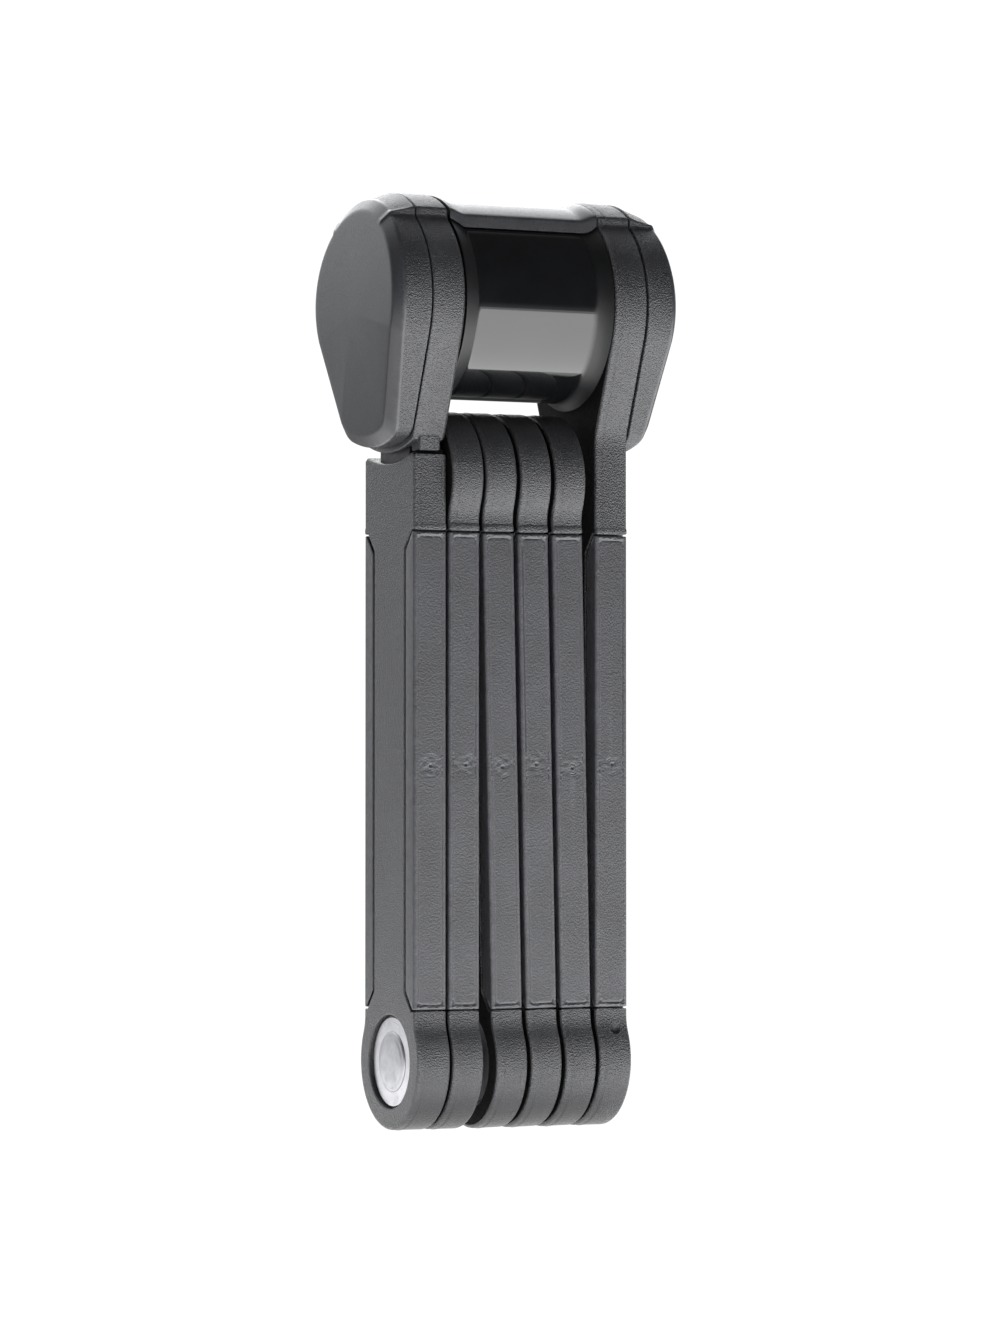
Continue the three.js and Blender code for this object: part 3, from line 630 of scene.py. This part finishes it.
def link_outline(number):
    """Outline of a link's cover; the first link ends in a head and the last in a hollow top."""
    path = [(*p, 1.0) for p in knuckle()] + notch()
    if number == 1:
        bend = 3.0  # length of the curve from the leg into the head's taper
        corner_z = HEAD_Z - 31.25
        turn = math.radians(TAPER)
        path += [
            (FLANK_Y, corner_z - bend, 1.0), (FLANK_Y + 0.09, corner_z - bend * 0.35, 1.0),
            (FLANK_Y + 0.42, corner_z + bend * 0.3, 1.0),
            (FLANK_Y + bend * math.sin(turn), corner_z + bend * math.cos(turn), 1.0),
        ]
        top = [(y, z + HEAD_Z, 1.0) for y, z in head_top(HEAD_RADIUS, 1.0)]
        return mirrored(path + top)
    if number == 6:
        side = math.degrees(math.acos(COVER_HORN_Y / COVER_CROWN))
        crown = arc(0, HEAD_Z, COVER_CROWN, -side, -90, 24)
        path += [(FLANK_Y, COVER_HORN - 1.0, 1.0), (FLANK_Y - 0.05, COVER_HORN - 0.15, 0.8, -0.7)]
        return mirrored(path + [(y, z, 0.6) for y, z in crown])
    return mirrored(path + [(*p, 1.0) for p in above(knuckle())])


def partner_side(number, end):
    """Which way along X the neighbour riveted at this end lies, or 0 for no rivet."""
    if end == "upper" and number in (1, 6):
        return 0
    return (1 if number % 2 == 0 else -1) * (1 if end == "lower" else -1)


def link_half(number):
    return OUTER_LINK_HALF if number in (1, 6) else LINK_HALF


def link_cover(number):
    half = link_half(number)
    pockets = []
    for end, z in (("lower", 0.0), ("upper", LINK_LENGTH)):
        side = partner_side(number, end)
        if side:
            depth = half - PLATE_HALF - 0.06
            pockets.append((side, z, SPACER_RECESS, depth, 0.3))
            pockets.append((-side, z, RING_RECESS, depth, 0.45))
    line = -half + 2.1  # the mould's parting line, a fine raised seam
    parting = [(line - 0.18, 0.0), (line, -0.11), (line + 0.18, 0.0)]
    bores = [(HEAD_Z, CORE_HOLE)] if number == 1 else []
    # The faces that face a neighbouring link take the second material, which is the painted shade
    # between the links.
    return slab(
        link_outline(number), -half, half, middle=parting, pockets=pockets, bores=bores,
        second=(number != 6, number != 1),
    )


def near(value, centre, width):
    """A smooth hump, 1 at the centre and about 0 beyond the width."""
    return math.exp(-(((value - centre) / (width / 2)) ** 2))


def pad_relief(x, z, half, seed):
    """How far the narrow face of a pad stands proud at (x, z), in millimetres."""
    low, high = PAD_LOW + SEAM, PAD_HIGH - SEAM
    corner = PAD_BORDER_CORNER
    across, up = half - PAD_BORDER, (high - low) / 2 - PAD_BORDER
    dx = abs(x) - (across - corner)
    dz = abs(z - (low + high) / 2) - (up - corner)
    distance = math.hypot(max(dx, 0), max(dz, 0)) + min(max(dx, dz), 0) - corner  # to the border
    rough = noise.noise((x * 1.7, z * 1.7, seed * 7.3))
    relief = -(0.1 + 0.16 * rough) * near(distance, 0.0, 0.32)
    end = min(z - low, high - z)
    relief += (0.14 + 0.26 * rough) * near(end, 0.55, 0.75)
    gate = math.hypot(x - 0.3 * math.sin(seed * 2.3), z - GATE_Z - 0.5 * math.sin(seed * 1.7))
    swirl = 0.6 + 1.6 * noise.noise((x * 0.9, z * 0.9, seed * 3.1))
    for ring, depth in GATE_RINGS:
        relief -= swirl * depth * near(gate, ring, 0.3)
    relief -= 0.5 * near(gate, 0.0, 0.6)
    return relief


def link_pad(number, side):
    """Edge pad that wraps round a link's flank, with a fine border line and a gate mark."""
    half = link_half(number)
    low, high = PAD_LOW + SEAM, PAD_HIGH - SEAM
    soft = 0.25
    arris = 0.75
    flat = half - arris
    border = half - PAD_BORDER
    step = 0.26
    # columns and rows of points, closer together at the border line and the gate mark
    columns = sorted(
        {round(i * step, 3) for i in range(int(border / step) - 1)}
        | {border + d for d in (-0.55, -0.3, -0.16, 0.0, 0.16, 0.3)}
    )
    columns = [c for c in columns if c < flat - 0.05]
    across = [-c for c in columns[:0:-1]] + columns
    ends = [0.0, 0.07, 0.25, 0.4, 0.55, 0.7, 0.85, 1.0, 1.15, 1.3, 1.5, 1.75, 2.0, 2.3, 3.2]
    rows = [low + e for e in ends] + [low + PAD_CORNER, high - PAD_CORNER]
    rows += [high - e for e in ends] + [GATE_Z + 0.22 * i for i in range(-15, 16)]
    rows += [low + 25, high - 25]
    body = Body()
    rings = []
    for z in sorted(set(rows)):
        end = min(z - low, high - z)
        shrink = soft * (1 - math.sqrt(1 - (1 - min(end / soft, 1.0)) ** 2))
        slope = (PAD_TIP_Y - PAD_INNER_Y) / PAD_CORNER
        inner = max(PAD_TIP_Y - slope * end, PAD_INNER_Y) + FACE_SEAM
        wide = [(x, y) for y, x in arc(FLANK_Y - arris, flat, arris, 0, 90, 4)]
        seam = [(half, inner + soft), (half - 0.07, inner + 0.07), (half - soft, inner)]
        one = wide + seam
        face = [(x, FLANK_Y + pad_relief(x, z, half, number * 2 + side)) for x in across]
        hidden = [(-PLATE_HALF - 0.35, PAD_BACK_Y), (PLATE_HALF + 0.35, PAD_BACK_Y)]
        section = [(-x, y) for x, y in one[::-1]] + face + one + hidden[::-1]
        limit_x, limit_y = half - shrink, FLANK_Y - shrink
        points = []
        for x, y in section:
            x = max(-limit_x, min(limit_x, x))
            points.append((x, side * (y - shrink if y > limit_y - 0.5 else y), z))
        rings.append(body.ring(points))
    body.strip(rings)
    for ring in (rings[0], rings[-1]):
        body.fan(ring)
    return body


def ejector_mark():
    """Ball that leaves a shallow dimple on the front of the first link's lower end."""
    body = turned(arc(0, 0, 1.5, 175, 5, 12), 24)
    body.points = [(x + 0.6, y - 14.95, z + 7.7) for x, y, z in body.points]
    return body


for number in range(1, 7):
    rides = f"link_{number}"
    place = link_place(number)
    add(
        f"link_{number}_cover_shell", link_cover(number), rides,
        [f"link_{number}_cover"], [GRAINED, PAINTED_SHADE_PLASTIC], place,
        tools=[ejector_mark()] if number == 1 else (),
    )
    for word, side in (("rear", 1), ("front", -1)):
        add(
            f"link_{number}_{word}_pad_strip", link_pad(number, side), rides,
            [f"link_{number}_{word}_pad"], [PAD], place,
        )

# ---- rivets ---------------------------------------------------------------------------------


def rivet_height(end):
    return LOWER_PIVOT_Z if end == "lower" else UPPER_PIVOT_Z


def link_middle(number, end):
    """X of a link's middle at its upper or lower rivet."""
    lean = LINK_LENGTH * math.sin(LEAN) if number in LEANING and end == "upper" else 0.0
    return LINK_X[number] - lean


RIVET_HEAD = (  # (distance from the plate, radius) from the shank out to the face
    (1.195, 2.0), (1.2, 4.2), (1.17, 5.3), (1.08, 5.75), (0.97, 6.05), (0.98, 6.3),
    (0.95, 6.6), (0.86, 6.9), (0.74, 7.1), (0.65, 7.2), (0.65, 5.0),
)
WASHER_FACES = (0.25, 0.6)  # distances from the plate
WASHER_RADII = (5.15, 10.6)


def washer_profile(inner_x, outer_x):
    """Flat ring with rounded rims; outer_x is the face that shows."""
    toward = 1 if outer_x > inner_x else -1
    hole, radius = WASHER_RADII
    rim = 0.14
    return [
        (inner_x, hole), (outer_x - toward * 0.05, hole), (outer_x, hole + 0.1),
        (outer_x, radius - rim), (outer_x - toward * rim * 0.3, radius - rim * 0.3),
        (outer_x - toward * rim, radius), (inner_x, radius),
    ]


for left, right, end in RIVETS:
    name = f"rivet_{min(left, right)}_{max(left, right)}"
    rides = f"link_{min(left, right)}"
    place = Matrix.Translation(Vector((0, 0, rivet_height(end))) * MM)
    faces = (
        (-1, "left", link_middle(left, end) - PLATE_HALF),
        (1, "right", link_middle(right, end) + PLATE_HALF),
    )
    ends = []
    for side, word, x in faces:
        ends.append([(x + side * out, r) for out, r in RIVET_HEAD])
        # Only the outermost washers keep the plain zinc; the others take the darker copy, painted
        # shade between the links.
        shows = (word == "left" and left == 6) or (word == "right" and right == 1)
        profile = washer_profile(*(x + side * out for out in WASHER_FACES))
        add(
            f"{name}_{word}_ring", turned(profile, closed=True), rides,
            [f"{name}_{word}_washer"], [ZINC if shows else PAINTED_SHADE_ZINC], place,
        )
    pin = turned(ends[0] + ends[1][::-1])
    add(name + "_pin", pin, rides, [name], [RIVET], place)

# ---- lock body ------------------------------------------------------------------------------


AT_AXIS = Matrix.Translation(Vector((0, 0, LOCK_AXIS_Z)) * MM)


def at_axis(path):
    return [(y, z + LOCK_AXIS_Z, 1.0) for y, z in path]


def prism(outline, x0, x1):
    """A plain prism, used as a cutting tool."""
    return tube([(x0, outline), (x1, outline)])


def tongue_slot(x0, x1):
    """The space in which the last link's tongue turns and leaves backwards."""
    reach, edge, swing = 60.0, 8.4, math.radians(120)
    toward = (math.sin(swing), -math.cos(swing))
    above_y, above_z = -toward[1] * edge, toward[0] * edge
    outline = [
        (-edge, LOCK_AXIS_Z), (-edge, LOCK_AXIS_Z - reach), (reach, LOCK_AXIS_Z - reach),
        (above_y + toward[0] * reach, LOCK_AXIS_Z + above_z + toward[1] * reach),
        (above_y, LOCK_AXIS_Z + above_z),
    ]
    return prism(outline, x0, x1)


collar = slab(
    mirrored(at_axis(head_side(COLLAR_FOOT, 1.0))), *COLLAR_X,
    arris=rounding(0.35, 3),
    far_arris=[(0.0, 0.95), (0.06, 0.72), (0.72, 0.1), (0.95, 0.02), (1.2, 0.0)],
    bores=[(LOCK_AXIS_Z, COLLAR_BORE)],
)
TAB = (
    (-13.5, 161.5), (-13.1, 161.15), (-9.4, 161.15), (-9.0, 161.4), (-9.0, 164.6), (-13.5, 164.6),
)
tab = slab([(*p, 0.7) for p in TAB], *TAB_X, rounding(0.5, 3), rounding(0.5, 3))
add("left_collar_tab", tab, "lock_body", ["left_collar"], [GRAINED])
add(
    "left_collar_shell", collar, "lock_body", ["left_collar"], [GRAINED],
    tools=[tongue_slot(*TONGUE_SLOT_X)],
)


def sleeve_profile():
    """Outside of the sleeve: conical shoulder, plain barrel, curved flare at the right."""
    barrel = SLEEVE_RADIUS
    shares = (0, 0.15, 0.3, 0.45, 0.6, 0.72, 0.84, 0.93, 1)
    flare = [(15.4 + 4.3 * t, barrel + 1.8 * t**2.2) for t in shares]
    shoulder = [
        (SLEEVE_X[0], 24.2), (-19.0, 24.13), (-15.6, 22.52), (-15.25, 22.42), (-14.8, barrel),
    ]
    return shoulder + [(-8, barrel), (4, barrel)] + flare


bore = [(x, SLEEVE_BORE) for x in SLEEVE_X]
sleeve = turned([bore[0], *sleeve_profile(), bore[1]], count=192, closed=True)
add(
    "gloss_sleeve_tube", sleeve, "lock_body", ["gloss_sleeve"], [GLOSS], AT_AXIS
)


def barrel_radius(x):
    """Radius of the sleeve's outside at x."""
    profile = sleeve_profile()
    for (x0, r0), (x1, r1) in zip(profile, profile[1:]):
        if x <= x1:
            return r0 + (r1 - r0) * max(x - x0, 0) / (x1 - x0)
    return profile[-1][1]


def ease(value):
    """Smooth step from 0 to 1."""
    value = min(max(value, 0.0), 1.0)
    return value * value * (3 - 2 * value)


def lerp(one, two, share):
    return one + (two - one) * share


def top_strip():
    """Rail along the sleeve's top, which rises to the roofs of the collars at both ends."""
    stations = [-19.4, -19.1, -18.4, -17.6, -16.8, -16, -15.3, -14.6, -13.8, -12, -6, 0, 6, 12]
    stations += [14.6, 15.6, 16.4, 17.0, 17.6, 18.2, 18.8, 19.3, 19.7]
    roof_z = LOCK_AXIS_Z + math.sqrt(ROOF_RADIUS**2 - ROOF_EDGE_Y**2)
    sections = []
    for x in stations:
        up = max(1 - ease((x + 19.6) / 5.0), ease((x - 15.2) / 4.6))  # 1 at the collars
        edge_y = lerp(STRIP_EDGE[0], ROOF_EDGE_Y, up)
        edge_z = lerp(STRIP_EDGE[1], roof_z, up)
        top_z = lerp(STRIP_TOP_Z, LOCK_AXIS_Z + ROOF_RADIUS - 0.15, up)
        sagitta = top_z - edge_z
        radius = (edge_y**2 + sagitta**2) / (2 * sagitta)
        spread = math.degrees(math.asin(edge_y / radius))
        over = arc(0, top_z - radius, radius, 90 - spread * 0.965, 90 + spread * 0.965, 28)
        base = barrel_radius(x) + 0.3
        under = math.degrees(math.acos((edge_y + 0.02) / base))
        foot = arc(0, LOCK_AXIS_Z, base, 180 - under, under, 20)
        side = [(-edge_y - 0.01, edge_z - 0.55), (-edge_y, (edge_z + foot[0][1]) / 2), *foot]
        side += [(edge_y, (edge_z + foot[-1][1]) / 2), (edge_y + 0.01, edge_z - 0.55)]
        section = over + [(-edge_y + 0.12, edge_z - 0.16), *side, (edge_y - 0.12, edge_z - 0.16)]
        sections.append((x, section))
    return tube(sections, fanned=True)


add("top_strip_rail", top_strip(), "lock_body", ["top_strip"], [SATIN])


def end_cap(side):
    """Crowned end cap: grained side, smooth bevel and face. side is -1 for left, 1 for right."""
    inner_x = CAP_INNER_X[side]
    wall = 2.2
    body = Body()

    def crown(z):
        return CAP_CROWN - math.sqrt(CAP_CROWN**2 - (z - CAP_CROWN_Z) ** 2)

    def outline(inset, roof):
        half = mirrored(at_axis(head_side(CAP_FOOT, 5.0, -inset, roof)))
        return [(p[0], p[1]) for p in half]

    def lay(points, x_of):
        return body.ring((side * x_of(z), y, z) for y, z in points)

    rim = 2.5  # from the face to the end of the grained side
    edge = 0.25
    start = inner_x + edge
    sides = [lay(outline(edge, 1.0), lambda z: inner_x)]
    count = 7
    for i in range(count + 1):
        t = i / count
        sides.append(lay(
            outline(0.0, 1.0 - 0.92 * t), lambda z, t=t: lerp(start, CAP_X - rim - crown(z), t)
        ))
    bevel = [sides[-1]]
    roof = 0.06
    steps = [  # (inset, depth below the face)
        (0.03, 2.1), (0.14, 1.8), (0.4, 1.52), (2.3, 0.34), (2.62, 0.16), (3.0, 0.04), (3.5, 0.0),
    ]
    for inset, depth in steps:
        bevel.append(lay(outline(inset, roof), lambda z, d=depth: CAP_X - d - crown(z)))
    face = [bevel[-1]]
    last = outline(steps[-1][0], roof)
    shrinks = (0.93, 0.86, 0.76, 0.66, 0.55, 0.44, 0.33, 0.22, 0.12, 0.05)
    for scale in shrinks:
        points = [(y * scale, lerp(CAP_FACE_Z, z, scale)) for y, z in last]
        face.append(lay(points, lambda z: CAP_X - crown(z)))
    body.strip(sides)
    body.strip(bevel, True)
    body.strip(face, True)
    body.fan(face[-1], True)
    flat_faces = len(last) * (len(shrinks) + 1)
    body.level = list(range(len(body.faces) - flat_faces, len(body.faces)))
    hollow = [lay(outline(wall, 0.0), lambda z, x=x: x) for x in (inner_x, CAP_HOLLOW_X)]
    body.bridge(sides[0], hollow[0])
    body.strip(hollow)
    body.fan(hollow[1])
    return body


def stadium(half_width, low_z, high_z):
    """An upright slot with round ends, as (y, z)."""
    over = arc(0, high_z, half_width, 0, 180, 24)
    return over + arc(0, low_z, half_width, 180, 360, 24)


def flared(outline_at, steps):
    """Cutting tool whose outline grows towards its open end. steps are (x, growth)."""
    return tube([(x, outline_at(grow)) for x, grow in steps])


add(
    "left_end_cap_shell", end_cap(-1), "lock_body", ["left_end_cap"],
    [GRAINED, SATIN],
)
track = flared(
    lambda grow: stadium(9.6 + grow, LOCK_AXIS_Z - COVER_TRAVEL, LOCK_AXIS_Z),
    [(TRACK_FLOOR_X, 0.0), (37.0, 0.0), (37.4, 0.12), (37.8, 0.5), (38.6, 1.3)],
)
keyhole = flared(
    lambda grow: circle(LOCK_AXIS_Z, KEYHOLE_RADIUS + grow, 64),
    [(33.0, 0.0), (35.0, 0.0), (35.25, 0.15), (35.45, 0.4)],
)
core_room = prism(circle(LOCK_AXIS_Z, 12.3, 64), 33.0, 34.6)
add(
    "right_end_cap_shell", end_cap(1), "lock_body", ["right_end_cap"],
    [GRAINED, SATIN], tools=[track, keyhole, core_room],
)


def keyhole_slide():
    """Round sliding cover with three grip ribs on it."""
    rib_rows = (-2.6, 0.0, 2.6)
    rib_y, rib_radius = 4.2, 0.45
    rib_steps = (
        (SLIDE_X, 0.28), (36.95, 0.1), (37.15, 0.0), (37.28, -0.06), (37.35, -0.2),
    )
    profile = [
        (35.6, 8.9), (35.72, 9.2), (36.6, 9.3), (36.85, 9.22), (36.95, 9.0), (36.95, 8.2),
        (SLIDE_X, 7.9), (SLIDE_X, 6.2),
    ]
    body = Body()
    rings = [body.ring((x, y, z) for y, z in circle(LOCK_AXIS_Z, r, 96)) for x, r in profile]
    body.strip(rings)
    body.fan(rings[0])
    loops = []
    for row in rib_rows:
        z = LOCK_AXIS_Z + row
        walls = []
        for x, grow in rib_steps:
            radius = rib_radius + grow
            ends = arc(rib_y, z, radius, -90, 90, 8) + arc(-rib_y, z, radius, 90, 270, 8)
            walls.append(body.ring((x, y, c) for y, c in ends))
        body.strip(walls)
        body.fan(walls[-1])
        loops.append(walls[0])
    body.plate(rings[-1], loops)
    return body


add(
    "keyhole_cover_slide", keyhole_slide(), "keyhole_cover", ["keyhole_cover"],
    [SATIN],
)

plug = turned([(14.6, 5.9), (14.8, 6.1), (34.6, 6.1), (34.9, 6.0), (35.0, 5.75)], count=64)
KEYWAY = (
    (-1.1, -4.2), (1.1, -4.2), (1.1, -1.2), (0.5, -0.8), (0.5, 0.6), (1.1, 1.0), (1.1, 4.2),
    (-0.3, 4.2), (-0.3, 2.2), (-1.1, 1.8),
)
add(
    "key_plug_face", plug, "key_plug", ["key_plug"], [NICKEL], AT_AXIS,
    tools=[prism(KEYWAY, 17.2, 36.0)],
)

# ---- finishes of the CAD nodes that stay in view --------------------------------------------

FINISH = {
    "hardened_steel": STEEL, "zinc_steel": ZINC, "carrier_plastic": PLAIN, "brass": BRASS,
    "nickel_silver": NICKEL, "textured_plastic": GRAINED, "satin_plastic": SATIN,
    "pad_plastic": PAD, "gloss_plastic": GLOSS,
}
for part in frame["record"]["subparts"]:
    node = frame["nodes"][part["node"]]
    # The core plates and the lock core take the near-black plastic instead of their metal: painted
    # shade in the seams and hollows.
    shaded_core = part["node"].endswith("_core_plate") or part["node"] == "lock_core"
    finish = PAINTED_SHADE_CORE if shaded_core else FINISH[part["material_slot"]]
    node.data.materials.clear()
    node.data.materials.append(finish)

# ---- camera, floor and light ----------------------------------------------------------------

FLOOR_GLOW = 1.6
WORLD_BASE = 0.06
WALLS = (  # (direction, cosines where the glow starts and is full, strength)
    ((-0.10, 0.75, 0.65), 0.60, 0.98, 1.9),
    ((0.45, 0.74, 0.50), 0.80, 0.97, 1.7),
    ((-0.45, 0.89, -0.10), 0.70, 0.98, 0.35),
    ((0.0, -0.5, -1.0), 0.35, 0.55, 1.1),
)
CARD_PLACE = (0.34, -0.786, 0.001)

camera = link_to_scene("camera", bpy.data.cameras.new("camera"))
camera.location = (-0.5754, -1.1556, 0.0742)
camera.rotation_euler = (math.radians(90 + 1.618), 0, math.radians(-26.52))
camera.data.lens = 144.98
camera.data.sensor_width = 36
camera.data.clip_start = 0.01
bpy.context.scene.camera = camera


def make_floor():
    """Pale floor that glows, as one lit from the studio does under black plastic.

    The camera doesn't see it: it would be burnt out to the backdrop's white, and the unfolded
    links hang below it.
    """
    mesh = bpy.data.meshes.new("floor")
    width, front, back, steps = 3.6, -2.4, 0.3, 12
    points = [
        (width * (i / steps - 0.5), front + (back - front) * j / steps, 0.0)
        for j in range(steps + 1) for i in range(steps + 1)
    ]
    row = steps + 1
    quads = [
        (j * row + i, j * row + i + 1, (j + 1) * row + i + 1, (j + 1) * row + i)
        for j in range(steps) for i in range(steps)
    ]
    mesh.from_pydata(points, [], quads)
    floor = link_to_scene("floor", mesh)
    s = Shader("pale_floor")
    tone = s.blend(s.noise(900, 2), (0.86, 0.86, 0.86), (0.9, 0.9, 0.9))
    glow = s.remap(s.noise(700, 2), 0.3, 0.7, FLOOR_GLOW * 0.95, FLOOR_GLOW * 1.05)
    mesh.materials.append(s.set(
        Base_Color=tone, Roughness=0.9, Specular_IOR_Level=0.1, Emission_Color=(1.0, 1.0, 1.0),
        Emission_Strength=glow,
    ))
    floor.visible_camera = False


def add_light(name, place, aim, size, power, glossy):
    """Area light that the camera doesn't see; glossy tells whether reflections show it."""
    light = bpy.data.lights.new(name, "AREA")
    light.shape = "RECTANGLE"
    light.size, light.size_y = size
    light.energy = power
    holder = link_to_scene(name, light)
    holder.location = place
    direction = Vector(aim) - Vector(place)
    holder.rotation_euler = direction.to_track_quat("-Z", "Y").to_euler()
    holder.visible_glossy = glossy
    holder.visible_camera = False
    return holder


def make_world():
    """A dim studio with soft glows behind, above and below; the camera sees plain white."""
    world = bpy.data.worlds.new("studio")
    bpy.context.scene.world = world
    world.use_nodes = True
    tree = world.node_tree
    output = tree.nodes["World Output"]
    dim = tree.nodes["Background"]

    def node(kind, inputs=None, **settings):
        return make_node(tree, kind, inputs, **settings)

    direction = node("ShaderNodeTexCoord").outputs["Generated"]
    total = None
    for aim, start, end, strength in WALLS:
        along = node(
            "ShaderNodeVectorMath", {0: direction, 1: Vector(aim).normalized()},
            operation="DOT_PRODUCT",
        ).outputs["Value"]
        glow = node(
            "ShaderNodeMapRange", {"Value": along, 1: start, 2: end, 3: 0.0, 4: strength},
            interpolation_type="SMOOTHSTEP",
        ).outputs[0]
        total = glow if total is None else node("ShaderNodeMath", {0: total, 1: glow}).outputs[0]
    strength = node("ShaderNodeMath", {0: total, 1: WORLD_BASE}).outputs[0]
    tree.links.new(strength, dim.inputs["Strength"])
    dim.inputs["Color"].default_value = (0.97, 0.98, 1.0, 1)
    seen = node("ShaderNodeBackground", {"Color": (1, 1, 1, 1), "Strength": 1.05})
    ray = node("ShaderNodeLightPath").outputs["Is Camera Ray"]
    mixed = node("ShaderNodeMixShader", {0: ray, 1: dim.outputs[0], 2: seen.outputs[0]})
    tree.links.new(mixed.outputs[0], output.inputs["Surface"])


make_floor()
make_world()
add_light("overhead", (0, 0.2, 2.2), (0, 0.2, 0), (3.2, 3.2), 22, False)
card = add_light("white_card", CARD_PLACE, (*CARD_PLACE[:2], 1), (0.88, 1.528), 14.8, True)
card.rotation_euler = (math.pi, 0, 0)  # facing up, square to the axes
add_light("rear_top", (0.1, 0.9, 0.9), (0, 0, 0.2), (0.8, 0.4), 2.6, True)
bpy.context.scene.view_settings.view_transform = "Standard"
